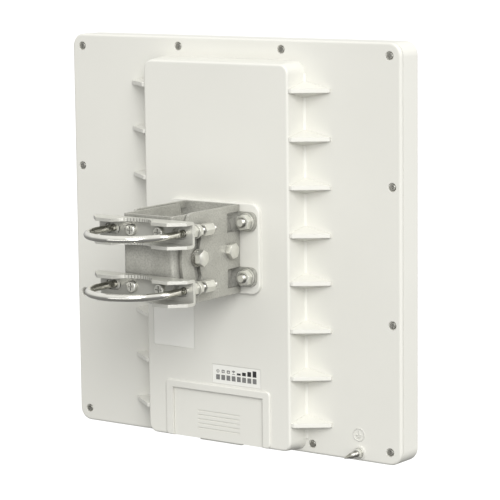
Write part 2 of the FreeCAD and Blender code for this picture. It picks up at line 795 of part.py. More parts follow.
cheek_bolts("pivot_bolts", pivot_y, outer_out, 10.0)
cheek_nuts("pivot_nuts", pivot_y)
cheek_bolts("lock_bolts", lock_y, outer_out + d.washer + d.spring_washer, 30.0)
cheek_nuts("lock_nuts", lock_y)
body = new_body("lock_washers")
for side in (-1, 1):
    item = sketch_on(body, f"ring{side + 1}", "YZ", side * outer_out)
    circle(item, lock_y, 0, 8.0)
    circle(item, lock_y, 0, d.bolt_radius + 0.3)
    pad(body, f"ring{side + 1}_pad", item, "YZ", d.washer, side)
    item = sketch_on(body, f"spring{side + 1}", "YZ", side * (outer_out + d.washer))
    circle(item, lock_y, 0, 7.0)
    circle(item, lock_y, 0, d.bolt_radius + 0.3)
    pad(body, f"spring{side + 1}_pad", item, "YZ", d.spring_washer, side)

# ---------------------------------------------------------------- U-bolts
# the bow's inside just clears the pole
bow_y = leg_half - d.rod_radius - (d.grip_radius + 0.1)


def ubolt(label, z):
    """Bent rod: half a ring and two legs that run through the saddle."""
    pieces = []
    ring = doc.addObject("Part::Torus", f"{label}_bow")
    bind(ring, "Radius1", leg_half)
    bind(ring, "Radius2", d.rod_radius)
    ring.Angle3 = 180
    ring.Placement = FreeCAD.Placement(
        FreeCAD.Vector(0, bow_y.value, z.value), FreeCAD.Rotation(FreeCAD.Vector(0, 0, 1), 180)
    )
    bind(ring, ".Placement.Base.y", bow_y)
    bind(ring, ".Placement.Base.z", z)
    pieces.append(ring)
    for side in (-1, 1):
        leg = doc.addObject("Part::Cylinder", f"{label}_leg{side + 1}")
        bind(leg, "Radius", d.rod_radius)
        bind(leg, "Height", leg_end - bow_y)
        leg.Placement = FreeCAD.Placement(
            FreeCAD.Vector(0, 0, 0), FreeCAD.Rotation(FreeCAD.Vector(1, 0, 0), -90)
        )
        bind(leg, ".Placement.Base.x", side * leg_half)
        bind(leg, ".Placement.Base.y", bow_y)
        bind(leg, ".Placement.Base.z", z)
        pieces.append(leg)
    whole = doc.addObject("Part::MultiFuse", label)
    whole.Shapes = pieces
    whole.Label = label
    PARTS.append(whole)
    doc.recompute()


def end_nuts(label, z):
    """Long nuts near the leg ends, which travel with the U-bolt."""
    spots = [(side * leg_half, z) for side in (-1, 1)]
    start = leg_end - d.leg_tip - d.end_nut
    nuts(label, spots, d.hex_m6, d.rod_radius + d.thread_play, start, d.end_nut)


for name, level in (("upper", clamp_z), ("lower", -clamp_z)):
    ubolt(f"ubolt_{name}", level)
    end_nuts(f"ubolt_{name}_nuts", level)

# washers and nuts along each leg, from the saddle's back: three of each
stack = new_body("clamp_washers")
hexes = new_body("clamp_nuts")
place = plate_front
for index, tall in enumerate((6.8, 6.8, 5.2)):
    item = sketch_on(stack, f"row{index}", "XZ", place)
    for x, z in leg_spots:
        circle(item, x, z, 6.6)
        circle(item, x, z, d.rod_radius + 0.3)
    pad(stack, f"row{index}_pad", item, "XZ", d.washer, 1)
    place = place + d.washer
    item = sketch_on(hexes, f"row{index}", "XZ", place)
    for x, z in leg_spots:
        hexagon(item, x, z, d.hex_m6, 15.0 * index)
        circle(item, x, z, d.rod_radius + d.thread_play)
    pad(hexes, f"row{index}_pad", item, "XZ", tall, 1)
    place = place + tall

# ---------------------------------------------------------------- rear cover
cover_spots = [(sx * (half_w - d.corner_inset), sz * (half_h - d.corner_inset))
               for sx in (-1, 1) for sz in (-1, 1)]
cover_spots += [(sx * d.top_screw, half_h - d.edge_inset) for sx in (-1, 1)]
cover_spots += [(sx * low_screw, -(half_h - d.edge_inset)) for sx in (-1, 1)]
cover_spots += [(sx * (half_w - d.edge_inset), sz * d.side_screw)
                for sx in (-1, 1) for sz in (-1, 1)]

body = new_body("rear_cover")
item = sketch_on(body, "flange", "XZ", flange)
rounded(item, -half_w, half_w, -half_h, half_h, d.panel_corner)
pad(body, "flange_pad", item, "XZ", d.cover_wall, 1)
item = sketch_on(body, "box", "XZ", flange)
rounded(item, -d.box_half, d.box_half, -box_bottom, box_top, d.box_corner)
pad(body, "box_pad", item, "XZ", d.box_depth, -1, -d.box_taper)
edge_blend(body, "Fillet", "box_edge", 2.2, lambda e: on_plane(e, "y", box_face.value))
edge_blend(
    body,
    "Fillet",
    "flange_edge",
    2.2,
    lambda e: on_plane(e, "y", flange.value)
    and (
        abs(e.BoundBox.Center.x) > half_w.value - 25
        or abs(e.BoundBox.Center.z) > half_h.value - 1
    ),
)
item = sketch_on(body, "mount_pad", "XZ", box_face + 0.2)
rounded(item, -pad_half_x, pad_half_x, -d.pad_half_z, d.pad_half_z, d.pad_corner)
pad(body, "mount_pad_rise", item, "XZ", d.pad_rise + 0.2, -1)
edge_blend(body, "Fillet", "mount_pad_edge", 1.2, lambda e: on_plane(e, "y", pad_face.value))
# blends along the foot of the box's sides
item = sketch_on(body, "foot", "XY", -(box_bottom - d.box_corner))
for side in (-1, 1):
    polygon(
        item,
        [
            (side * (d.box_half - 1.0), flange + 0.5),
            (side * (d.box_half - d.foot_blend * sine(d.box_taper)), flange - foot_rise),
            (side * (d.box_half + d.foot_blend), flange),
            (side * (d.box_half + d.foot_blend), flange + 0.5),
        ],
    )
foot_length = box_top + box_bottom - d.box_corner * 2
pad(body, "foot_pad", item, "XY", foot_length, 1)
# hatch bead: a raised frame open at the bottom
item = sketch_on(body, "bead", "XZ", box_face + 0.3)
outer_x = d.hatch_half + d.bead_width
rounded(item, -outer_x, outer_x, -(box_bottom - 2.6), -(hatch_top - d.bead_width + 1.2), 4.0)
pad(body, "bead_pad", item, "XZ", d.bead_rise + 0.3, -1)
edge_blend(
    body,
    "Fillet",
    "bead_edge",
    1.2,
    lambda e: on_plane(e, "y", box_face.value - d.bead_rise.value),
)
# hollow of the box, open to the front, and the lower bay's front side
item = sketch_on(body, "hollow", "XZ", flange_front + 0.5)
wall_x = d.box_half - 5.4
wall_top = box_top - 5.4
floor_z = -(hatch_top - 4.1)
rounded(item, -wall_x, wall_x, floor_z, wall_top, 6.0)
pocket(body, "hollow_cut", item, "XZ", flange_front + 0.5 - box_face - d.box_wall, -1)
item = sketch_on(body, "lower_hollow", "XZ", flange_front + 0.5)
rounded(item, -wall_x, wall_x, -(box_bottom - 5.4), floor_z - 2.4, 4.0)
depth = flange_front + 0.5 - box_face - d.bay_depth - 2.4
pocket(body, "lower_hollow_cut", item, "XZ", depth, -1)
# hatch seat and cable bay
item = sketch_on(body, "hatch_seat", "XZ", box_face - 4.0)
seat_low = -(box_bottom + 3.0)
rectangle(item, -d.hatch_half, d.hatch_half, seat_low, -hatch_top)
pocket(body, "hatch_seat_cut", item, "XZ", 4.0 + d.hatch_sink + d.hatch_thick + 0.1, 1)
item = sketch_on(body, "bay", "XZ", box_face - 4.0)
bay_low = -(box_bottom - 5.0)
rounded(item, -d.bay_half, d.bay_half, bay_low, -(hatch_top + 1.2), 3.0)
pocket(body, "bay_cut", item, "XZ", 4.0 + d.bay_depth, 1)
# cable mouth in the bay's floor
item = sketch_on(body, "mouth", "XY", -(box_bottom + 2.0))
mouth_low = box_face + d.hatch_sink + d.hatch_thick + 0.4
rectangle(item, -d.grommet_half, d.grommet_half, mouth_low, box_face + d.bay_depth - 1.5)
pocket(body, "mouth_cut", item, "XY", 8.0, 1)
# jack windows between the bay and the hollow
jack_half = 8.2
jack_spots = [-36.0, -14.0]
jack_low = box_face + d.box_wall + 0.9
jack_high = box_face + d.box_wall + d.board_lift - 0.1
item = sketch_on(body, "jack_windows", "XY", -(hatch_top + 3.0))
for x in jack_spots:
    rectangle(item, x - jack_half - 0.2, x + jack_half + 0.2, jack_low - 0.2, jack_high + 0.2)
pocket(body, "jack_windows_cut", item, "XY", 9.0, 1)
# tongue inside the radome wall
item = sketch_on(body, "tongue", "XZ", flange_front - 0.3)
inset = d.radome_wall + d.fit_gap
rounded(item, inset - half_w, half_w - inset, inset - half_h, half_h - inset, 8.5)
inset = inset + d.tongue
rounded(item, inset - half_w, half_w - inset, inset - half_h, half_h - inset, 6.5)
pad(body, "tongue_pad", item, "XZ", d.tongue_height + 0.3, 1)
# room in the tongue for the earth stud's head
item = sketch_on(body, "earth_room", "XZ", flange_front)
circle(item, earth_x, -earth_z, d.earth_head + 0.4)
pocket(body, "earth_room_cut", item, "XZ", d.tongue_height + 0.5, 1)
# posts for the reflector and bosses for the radio board
post_x = reflector_half_x - 35.0
post_z = reflector_half_z - 30.0
post_spots = [(sx * post_x, z) for sx in (-1, 1) for z in (post_z, 46.0, -46.0, -post_z)]
item = sketch_on(body, "posts", "XZ", flange_front - 0.5)
for x, z in post_spots:
    circle(item, x, z, 4.0)
pad(body, "posts_pad", item, "XZ", d.reflector_lift + 0.5, 1)
item = sketch_on(body, "post_holes", "XZ", flange_front + d.reflector_lift + 0.5)
for x, z in post_spots:
    circle(item, x, z, 1.6)
pocket(body, "post_holes_cut", item, "XZ", 6.5, -1)
board_x = wall_x - 14.0
board_levels = (wall_top - 22.2, 60.0, -60.0, floor_z + 11.0)
board_spots = [(sx * board_x, z) for sx in (-1, 1) for z in board_levels]
item = sketch_on(body, "bosses", "XZ", box_face + d.box_wall - 0.5)
for x, z in board_spots:
    circle(item, x, z, 3.4)
pad(body, "bosses_pad", item, "XZ", d.board_lift + 0.5, 1)
item = sketch_on(body, "boss_holes", "XZ", box_face + d.box_wall + d.board_lift + 0.5)
for x, z in board_spots:
    circle(item, x, z, 1.6)
pocket(body, "boss_holes_cut", item, "XZ", 9.0, -1)
# earth boss and mark
item = sketch_on(body, "earth_boss", "XZ", flange + 0.5)
circle(item, earth_x, -earth_z, 6.3)
pad(body, "earth_boss_pad", item, "XZ", 1.3, -1)
item = sketch_on(body, "earth_mark", "XZ", flange + 0.3)
circle(item, mark_x, -mark_z, d.mark_radius)
circle(item, mark_x, -mark_z, d.mark_radius - 0.8)
rectangle(item, mark_x - 0.4, mark_x + 0.4, -mark_z + 0.3, -mark_z + 4.0)
for step, reach in enumerate((3.2, 2.1, 1.0)):
    level = -mark_z - 0.5 - 1.4 * step
    rectangle(item, mark_x - reach, mark_x + reach, level - 0.35, level + 0.35)
pad(body, "earth_mark_pad", item, "XZ", 0.7, -1)
item = sketch_on(body, "earth_hole", "XZ", flange - 3.0)
circle(item, earth_x, -earth_z, d.earth_radius + 0.1)
pocket(body, "earth_hole_cut", item, "XZ", 3.0 + d.cover_wall + 1.0, 1)
# screw recesses and holes round the flange
item = sketch_on(body, "screw_sinks", "XZ", flange - 1.0)
for x, z in cover_spots:
    circle(item, x, z, d.cover_sink)
pocket(body, "screw_sinks_cut", item, "XZ", 2.8, 1)
item = sketch_on(body, "screw_holes", "XZ", flange - 1.0)
for x, z in cover_spots:
    circle(item, x, z, d.cover_screw + 0.3)
pocket(body, "screw_holes_cut", item, "XZ", 6.0, 1)
# stud holes through the pad
item = sketch_on(body, "stud_holes", "XZ", pad_face - 1.0)
for x, z in stud_spots:
    circle(item, x, z, d.bolt_radius + 0.4)
pocket(body, "stud_holes_cut", item, "XZ", d.pad_rise + d.box_wall + 2.0, 1)
# label recesses and light windows
item = sketch_on(body, "label_seats", "XZ", box_face - 1.0)
rectangle(item, d.led_left, d.led_right, -led_low, -led_high)
rectangle(item, -d.plate_left, -d.plate_right, -plate_low, -plate_high)
pocket(body, "label_seats_cut", item, "XZ", 1.0 + d.label_sink, 1)
lights = [d.led_first + d.led_pitch * index for index in range(8)]
light_half = d.led_size / 2
item = sketch_on(body, "light_windows", "XZ", box_face - 1.0)
for x in lights:
    left = x - light_half - 0.05
    right = x + light_half + 0.05
    rectangle(item, left, right, -led_row - light_half - 0.25, -led_row + light_half + 0.25)
pocket(body, "light_windows_cut", item, "XZ", 1.0 + d.box_wall + 1.0, 1)


# ---------------------------------------------------------------- gussets beside the box
body = new_body("cover_gussets")
rib_mid = rib_first + d.rib_thick / 2
rib_face = box_face + 1.2
rib_edge = d.rib_thick / 2
rib_root = d.rib_thick / 2 + d.rib_swell
shoulder = d.box_half + 0.8
originals = []
for side, tag in ((-1, "left"), (1, "right")):
    item = sketch_on(body, f"{tag}_root", "YZ", side * shoulder)
    root_section = [
        (rib_face, rib_mid - rib_edge),
        (flange, rib_mid - rib_root),
        (flange, rib_mid + rib_root),
        (rib_face, rib_mid + rib_edge),
    ]
    polygon(item, root_section)
    inner = pad(body, f"{tag}_root_pad", item, "YZ", 4.8, -side)
    start = sketch_on(body, f"{tag}_start", "YZ", side * shoulder)
    polygon(start, root_section)
    end = sketch_on(body, f"{tag}_end", "YZ", side * rib_reach)
    polygon(
        end,
        [
            (flange - d.rib_tip, rib_mid - rib_edge),
            (flange, rib_mid - rib_edge),
            (flange, rib_mid + rib_edge),
            (flange - d.rib_tip, rib_mid + rib_edge),
        ],
    )
    wing = body.newObject("PartDesign::AdditiveLoft", f"cover_gussets_{tag}_wing")
    wing.Profile = start
    wing.Sections = [end]
    wing.Ruled = True
    doc.recompute()
    originals += [inner, wing]
ribs = body.newObject("PartDesign::LinearPattern", "cover_gussets_row")
ribs.Originals = originals
axis = [f for f in body.Origin.OriginFeatures if f.Role == "Z_Axis"][0]
ribs.Direction = (axis, [""])
ribs.Reversed = True
ribs.Length = rib_span.value
bind(ribs, "Length", rib_span)
ribs.Occurrences = int(d.rib_count.value)
bind(ribs, "Occurrences", d.rib_count)
body.Tip = ribs
doc.recompute()
# the box and its foot blends, taken out of the gussets
item = sketch_on(body, "box", "XY", rib_first + 20.0)
slope = sine(d.box_taper) / cosine(d.box_taper)
side_x = d.box_half - (d.box_depth + 1.0) * slope
polygon(
    item,
    [
        (-(d.box_half + d.foot_blend), flange + 0.0),
        (-(d.box_half - d.foot_blend * sine(d.box_taper)), flange - foot_rise),
        (-side_x, box_face - 1.0),
        (side_x, box_face - 1.0),
        (d.box_half - d.foot_blend * sine(d.box_taper), flange - foot_rise),
        (d.box_half + d.foot_blend, flange + 0.0),
    ],
)
pocket(body, "box_cut", item, "XY", rib_span + 40.0, -1)

# ---------------------------------------------------------------- mounting studs
studs = new_body("mount_studs")
plate_back = box_face + d.box_wall
spread = sketch_on(studs, "heads", "XZ", plate_back + 3.0)
for x, z in stud_spots:
    hexagon(spread, x, z, d.hex_m8, 30.0)
pad(studs, "heads_pad", spread, "XZ", 5.3, 1)
stud_tip = base_front - d.washer - d.nut_m8 - d.stud_out
length = plate_back + 3.5 - stud_tip
pins(studs, "shanks", stud_spots, d.bolt_radius, stud_tip, length, 1)
edge_blend(studs, "Chamfer", "tips", 0.8, lambda e: on_plane(e, "y", stud_tip.value))

body = new_body("mount_backplate")
item = sketch_on(body, "plate", "XZ", plate_back)
plate_half = stud_half_x + 15.5
rounded(item, -plate_half, plate_half, -40.0, 40.0, 6.0)
for x, z in stud_spots:
    circle(item, x, z, d.bolt_radius + 0.4)
pad(body, "plate_pad", item, "XZ", 3.0, 1)

rings("mount_washers", stud_spots, 8.0, d.bolt_radius + 0.3, base_front, d.washer, -1)
body = nuts(
    "mount_nuts",
    stud_spots,
    d.hex_m8,
    d.bolt_radius + d.thread_play,
    base_front - d.washer,
    d.nut_m8,
    -1,
    12.0,
)

# ---------------------------------------------------------------- radome, gasket, cover screws
body = new_body("radome")
item = sketch_on(body, "shell", "XZ", radome_edge)
rounded(item, -half_w, half_w, -half_h, half_h, d.panel_corner)
pad(body, "shell_pad", item, "XZ", radome_front - radome_edge, 1)
edge_blend(body, "Fillet", "front_edge", 4.0, lambda e: on_plane(e, "y", radome_front.value))
item = sketch_on(body, "hollow", "XZ", radome_edge - 0.5)
wall = d.radome_wall
rounded(item, wall - half_w, half_w - wall, wall - half_h, half_h - wall, 9.0)
hollow_depth = radome_front - radome_edge - d.radome_face + 0.5
pocket(body, "hollow_cut", item, "XZ", hollow_depth, 1)
item = sketch_on(body, "bosses", "XZ", flange_front + 0.1)
for x, z in cover_spots:
    circle(item, x, z, 3.1)
pad(body, "bosses_pad", item, "XZ", radome_front - flange_front - d.radome_face + 0.4, 1)
item = sketch_on(body, "boss_holes", "XZ", flange_front - 0.5)
for x, z in cover_spots:
    circle(item, x, z, d.cover_screw + d.thread_play)
pocket(body, "boss_holes_cut", item, "XZ", 13.0, 1)

body = new_body("cover_gasket")
item = sketch_on(body, "ring", "XZ", flange_front)
edge = 0.4
rounded(item, edge - half_w, half_w - edge, edge - half_h, half_h - edge, 11.6)
inner_edge = d.radome_wall - 0.1
rounded(
    item,
    inner_edge - half_w,
    half_w - inner_edge,
    inner_edge - half_h,
    half_h - inner_edge,
    9.1,
)
pad(body, "ring_pad", item, "XZ", d.seal, 1)

screws = new_body("cover_screws")
head_seat = flange + 1.8
pins(screws, "heads", cover_spots, d.cover_head, head_seat - 1.6, 1.6, 1)
edge_blend(
    screws, "Fillet", "crown", 0.7, lambda e: on_plane(e, "y", head_seat.value - 1.6)
)
pins(screws, "shanks", cover_spots, d.cover_screw, head_seat - 0.4, 12.0, 1)
for tag, wide, tall in (("slot", 1.8, 0.35), ("cross", 0.35, 1.8)):
    drive = sketch_on(screws, tag, "XZ", head_seat - 1.8)
    for x, z in cover_spots:
        rectangle(drive, x - wide, x + wide, z - tall, z + tall)
    pocket(screws, f"{tag}_cut", drive, "XZ", 1.0, 1)

# ---------------------------------------------------------------- antenna array
reflector_back = flange_front + d.reflector_lift
reflector_face = reflector_back + d.reflector_thick
array_back = reflector_face + d.array_lift
array_face = array_back + d.board_thick
patch_pitch_x = patch_first_x * 2 / (d.patch_rows - 1)
patch_pitch_z = patch_first_z * 2 / (d.patch_rows - 1)
# the feeds come up between two columns of patches
feed_spots = [(-patch_pitch_x, 100.0), (patch_pitch_x, 100.0)]
spacer_x = reflector_half_x - 47.0
spacer_z = reflector_half_z - 50.0
spacer_spots = [(sx * spacer_x, sz * spacer_z) for sx in (-1, 0, 1) for sz in (-1, 0, 1)]

body = new_body("reflector_plate")
item = sketch_on(body, "sheet", "XZ", reflector_back)
wide = reflector_half_x
tall = reflector_half_z
rounded(item, -wide, wide, -tall, tall, 4.0)
for x, z in post_spots:
    circle(item, x, z, 1.8)
for x, z in feed_spots:
    circle(item, x, z, 4.0)
pad(body, "sheet_pad", item, "XZ", d.reflector_thick, 1)

screws = new_body("reflector_screws")
pins(screws, "heads", post_spots, 3.0, reflector_face, 2.0, 1)
edge_blend(
    screws, "Fillet", "crown", 0.8, lambda e: on_plane(e, "y", reflector_face.value + 2.0)
)
pins(screws, "shanks", post_spots, 1.5, reflector_face + 0.5, 8.0, -1)

body = new_body("array_spacers")
pins(body, "posts", spacer_spots, 3.0, reflector_face, d.array_lift, 1)

body = new_body("array_board")
item = sketch_on(body, "board", "XZ", array_back)
rounded(item, -wide + 2.0, wide - 2.0, -tall + 2.0, tall - 2.0, 4.0)
for x, z in feed_spots:
    circle(item, x, z, 1.3)
pad(body, "board_pad", item, "XZ", d.board_thick, 1)

body = new_body("patch_elements")
item = sketch_on(body, "patch", "XZ", array_face)
half = d.patch_size / 2
left = -patch_first_x
low = -patch_first_z
rectangle(item, left - half, left + half, low - half, low + half)
patch = pad(body, "patch_pad", item, "XZ", 0.4, 1)
grid = body.newObject("PartDesign::MultiTransform", "patch_elements_grid")
steps = []
for tag, role, pitch in (("across", "X_Axis", patch_pitch_x), ("up", "Z_Axis", patch_pitch_z)):
    step = body.newObject("PartDesign::LinearPattern", f"patch_elements_{tag}")
    axis = [f for f in body.Origin.OriginFeatures if f.Role == role][0]
    step.Direction = (axis, [""])
    bind(step, "Length", pitch * (d.patch_rows - 1))
    bind(step, "Occurrences", d.patch_rows)
    steps.append(step)
grid.Originals = [patch]
grid.Transformations = steps
body.Tip = grid
doc.recompute()

body = new_body("feed_pins")
pins(body, "outer", feed_spots, 2.6, plate_back + d.board_lift + d.board_thick, 22.0, 1)
edge_y = plate_back + d.board_lift + d.board_thick
pins(body, "inner", feed_spots, 1.0, edge_y + 21.0, array_face - edge_y - 21.0 + 1.2, 1)

# ---------------------------------------------------------------- radio
board_back = plate_back + d.board_lift
board_face = board_back + d.board_thick
body = new_body("radio_board")
item = sketch_on(body, "board", "XZ", board_back)
board_half = wall_x - 7.0
rounded(item, -board_half, board_half, floor_z + 1.5, wall_top - 6.0, 3.0)
for x, z in board_spots:
    circle(item, x, z, 1.8)
pad(body, "board_pad", item, "XZ", d.board_thick, 1)

screws = new_body("board_screws")
pins(screws, "heads", board_spots, 2.9, board_face, 2.0, 1)
edge_blend(screws, "Fillet", "crown", 0.8, lambda e: on_plane(e, "y", board_face.value + 2.0))
pins(screws, "shanks", board_spots, 1.5, board_face + 0.5, 8.5, -1)

body = new_body("shield_cans")
item = sketch_on(body, "cans", "XZ", board_face)
can_reach = wall_x - 26.0
rounded(item, -can_reach, -4.0, 20.0, 78.0, 2.0)
rounded(item, 4.0, can_reach, 20.0, 78.0, 2.0)
rounded(item, -40.0, 40.0, -52.0, 4.0, 2.0)
pad(body, "cans_pad", item, "XZ", 4.0, 1)
edge_blend(body, "Fillet", "cans_edge", 0.8, lambda e: on_plane(e, "y", board_face.value + 4.0))

body = new_body("board_chips")
item = sketch_on(body, "chips", "XZ", board_back)
rounded(item, -24.0, -6.0, -78.0, -60.0, 0.6)
rounded(item, 8.0, 22.0, -76.0, -62.0, 0.6)
rounded(item, 32.0, 56.0, floor_z + 27.0, floor_z + 49.0, 0.6)
rounded(item, -58.0, -34.0, floor_z + 27.0, floor_z + 49.0, 0.6)
pad(body, "chips_pad", item, "XZ", 3.2, -1)

body = new_body("heat_sink")
item = sketch_on(body, "slab", "XZ", board_back)
sink_top = wall_top - 32.2
rectangle(item, -48.0, 48.0, 62.0, sink_top)
pad(body, "slab_pad", item, "XZ", 3.0, -1)
item = sketch_on(body, "fins", "XZ", board_back - 2.5)
for index in range(9):
    middle = -44.0 + 11.0 * index
    rectangle(item, middle - 1.0, middle + 1.0, 62.0, sink_top)
pad(body, "fins_pad", item, "XZ", 6.5, -1)

# two eight-way jacks, mouths down into the cable bay
body = new_body("ethernet_jacks")
jack_bottom = -(hatch_top + 1.0)
item = sketch_on(body, "shell", "XY", jack_bottom)
for x in jack_spots:
    rectangle(item, x - jack_half, x + jack_half, jack_low, board_back)
pad(body, "shell_pad", item, "XY", 21.5, 1)
item = sketch_on(body, "mouth", "XY", jack_bottom - 0.5)
for x in jack_spots:
    low = jack_low + 1.2
    rectangle(item, x - 5.9, x + 5.9, low, low + 6.8)
pocket(body, "mouth_cut", item, "XY", 13.0, 1)
item = sketch_on(body, "key", "XY", jack_bottom - 0.5)
for x in jack_spots:
    low = jack_low + 7.9
    rectangle(item, x - 3.1, x + 3.1, low, low + 1.2)
pocket(body, "key_cut", item, "XY", 13.0, 1)

# status lights: clear rods from the board to the label
body = new_body("light_pipes")
item = sketch_on(body, "rods", "XZ", box_face + 0.05)
for x in lights:
    low = -led_row - light_half - 0.2
    high = -led_row + light_half + 0.2
    rectangle(item, x - light_half, x + light_half, low, high)
pad(body, "rods_pad", item, "XZ", d.box_wall + d.board_lift - 0.05, 1)

# ---------------------------------------------------------------- labels
body = new_body("led_label")
item = sketch_on(body, "sheet", "XZ", box_face + 0.1)
rectangle(item, d.led_left + 0.2, d.led_right - 0.2, -led_low + 0.2, -led_high - 0.2)
for x in lights:
    left = x - light_half - 0.1
    right = x + light_half + 0.1
    rectangle(item, left, right, -led_row - light_half - 0.3, -led_row + light_half + 0.3)
pad(body, "sheet_pad", item, "XZ", d.label_sink - 0.1, 1)

body = new_body("blank_label")
item = sketch_on(body, "sheet", "XZ", box_face + 0.1)
near = -d.plate_right - 0.2
far = -d.plate_left + 0.2
rectangle(item, far, near, -plate_low + 0.2, -plate_high - 0.2)
pad(body, "sheet_pad", item, "XZ", d.label_sink - 0.1, 1)

# ---------------------------------------------------------------- hatch and cable grommet
body = new_body("hatch_cover")
hatch_face = box_face + d.hatch_sink
item = sketch_on(body, "leaf", "XZ", hatch_face)
side = d.hatch_half - d.hatch_gap
rectangle(item, -side, side, -(box_bottom - 2.6), -(hatch_top + d.hatch_gap))
pad(body, "leaf_pad", item, "XZ", d.hatch_thick, 1)
item = sketch_on(body, "grip", "XZ", hatch_face - 0.5)
for index in range(5):
    middle = -(hatch_top + 19.9 + 4.1 * index)
    rectangle(item, -23.8, 23.8, middle - 0.7, middle + 0.7)
pocket(body, "grip_cut", item, "XZ", 1.1, 1)

body = new_body("cable_grommet")
# plug in the bay's floor, with a lip above and below it
floor_low = -(box_bottom - 0.6)
item = sketch_on(body, "plug", "XY", floor_low)
low = mouth_low + 0.2
high = box_face + d.bay_depth - 1.7
half = d.grommet_half - 0.2
cable_y = (low + high) / 2
rectangle(item, -half, half, low, high)
for sx in (-1, 1):
    circle(item, sx * d.cable_half, cable_y, d.cable_hole)
pad(body, "plug_pad", item, "XY", 4.4, 1)
item = sketch_on(body, "lip", "XY", bay_low)
rectangle(item, -half - 1.6, half + 1.6, low, high)
for sx in (-1, 1):
    circle(item, sx * d.cable_half, cable_y, d.cable_hole)
pad(body, "lip_pad", item, "XY", 1.6, 1)

# ---------------------------------------------------------------- earth point
body = new_body("earth_stud")
spot = [(earth_x, -earth_z)]
pins(body, "head", spot, d.earth_head, flange_front, 2.4, 1)
pins(body, "shank", spot, d.earth_radius, flange_front + 0.5, d.cover_wall + 0.5 + d.earth_out, -1)
end = (flange - d.earth_out).value
edge_blend(body, "Chamfer", "point", 1.6, lambda e: on_plane(e, "y", end))
earth_seat = flange - 0.8
rings("earth_washers", spot, 5.0, d.earth_radius + 0.15, earth_seat, 1.0, -1)
nuts("earth_nut", spot, 8.0, d.earth_radius + d.thread_play, earth_seat - 1.0, 4.0, -1, 20.0)

# ---------------------------------------------------------------- check and write
doc.recompute()
for item in doc.Objects:
    state = [word for word in item.State if word in ("Invalid", "Error")]
    if state:
        raise RuntimeError(f"{item.Label}: {state}")
for item in PARTS:
    if item.Shape.isNull() or not item.Shape.isValid():
        raise RuntimeError(f"{item.Label}: bad shape")
os.makedirs("parts", exist_ok=True)
for item in PARTS:
    item.Shape.exportStep(f"parts/{item.Label}.step")
    print(f"{item.Label:18s} {len(item.Shape.Solids):3d} {item.Shape.Volume:12.1f}")
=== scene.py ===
"""Looks of the panel antenna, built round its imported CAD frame. Metres, same axes as the CAD."""

import math

import bmesh
import bpy
from mathutils import Matrix, Vector


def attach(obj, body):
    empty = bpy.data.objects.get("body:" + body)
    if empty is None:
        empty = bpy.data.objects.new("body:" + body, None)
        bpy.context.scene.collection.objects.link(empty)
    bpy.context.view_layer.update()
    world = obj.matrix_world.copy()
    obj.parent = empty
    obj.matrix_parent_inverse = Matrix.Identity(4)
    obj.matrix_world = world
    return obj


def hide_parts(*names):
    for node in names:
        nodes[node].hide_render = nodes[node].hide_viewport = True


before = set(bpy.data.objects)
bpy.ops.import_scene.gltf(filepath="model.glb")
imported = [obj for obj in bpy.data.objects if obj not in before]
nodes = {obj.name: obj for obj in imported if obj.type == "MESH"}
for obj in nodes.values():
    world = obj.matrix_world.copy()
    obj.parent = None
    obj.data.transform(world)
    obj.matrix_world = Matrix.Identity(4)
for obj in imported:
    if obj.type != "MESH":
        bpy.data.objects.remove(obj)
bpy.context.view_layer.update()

MM = 0.001

# ---------------------------------------------------------------- sizes shared with the CAD
# Places along Y, from the pole's axis towards the radome.
BOW_Y = 11.5 * MM  # centre of the U-bolts' bow
PLATE_FRONT = 33.2 * MM  # back of the saddles' webs, where the clamp washers start
LOCK_Y = 62.2 * MM
LEG_END = 78.5 * MM
PIVOT_Y = 112.7 * MM
BASE_FRONT = 126.0 * MM  # pole side of the bracket's ears, under the mounting washers
BOX_FACE = 133.0 * MM
BACKPLATE = 135.6 * MM  # pole side of the plate inside the box
FLANGE_FACE = 156.2 * MM
FLANGE_INNER = 159.7 * MM
# Places to each side of the middle.
CHEEK_IN = 25.0 * MM
CHEEK_OUT = 31.3 * MM
SADDLE_SCREW_X = 15.6 * MM
LEG_X, LEG_Z = 39.0 * MM, 25.3 * MM
STUD_X, STUD_Z = 40.5 * MM, 25.3 * MM
EARTH_X, EARTH_Z = 141.0 * MM, -180.5 * MM
# Hardware.
ROD = 3.2 * MM  # radius of the U-bolts
BOLT = 4.0 * MM  # radius of the M8 bolts and studs
HEX_M6 = 10.0 * MM
HEX_M8 = 13.0 * MM
HEAD_M8 = 5.3 * MM
NUT_M8 = 6.5 * MM
WASHER = 1.6 * MM
SPRING_WASHER = 2.1 * MM
PITCH_M6 = 1.0 * MM
PITCH_M8 = 1.25 * MM
NUT_PLAY = 0.05 * MM  # between a screwed rod and its nut
WASHER_PLAY = 0.3 * MM  # between a rod and its washer

# ---------------------------------------------------------------- camera
# Fitted to the flange screws and the box in the photograph.
AZIMUTH = 35.94
ELEVATION = 8.32
ROLL = -0.62
DISTANCE = 2.135
TARGET = Vector((0.0217, 0.1562, -0.0056))
LENS = 167.6


def add_camera():
    """The photograph's own view."""
    azimuth, elevation, roll = (math.radians(v) for v in (AZIMUTH, ELEVATION, ROLL))
    back = Vector((
        math.sin(azimuth) * math.cos(elevation),
        -math.cos(azimuth) * math.cos(elevation),
        math.sin(elevation),
    ))
    level = (-back).cross(Vector((0, 0, 1))).normalized()
    upright = level.cross(-back)
    right = level * math.cos(roll) + upright * math.sin(roll)
    up = upright * math.cos(roll) - level * math.sin(roll)
    data = bpy.data.cameras.new("camera")
    data.sensor_width = 36.0
    data.lens = LENS
    data.clip_start = 0.05
    data.clip_end = 200.0
    camera = bpy.data.objects.new("camera", data)
    turned = Matrix((right, up, back)).transposed().to_4x4()
    camera.matrix_world = Matrix.Translation(TARGET + back * DISTANCE) @ turned
    bpy.context.scene.collection.objects.link(camera)
    bpy.context.scene.camera = camera


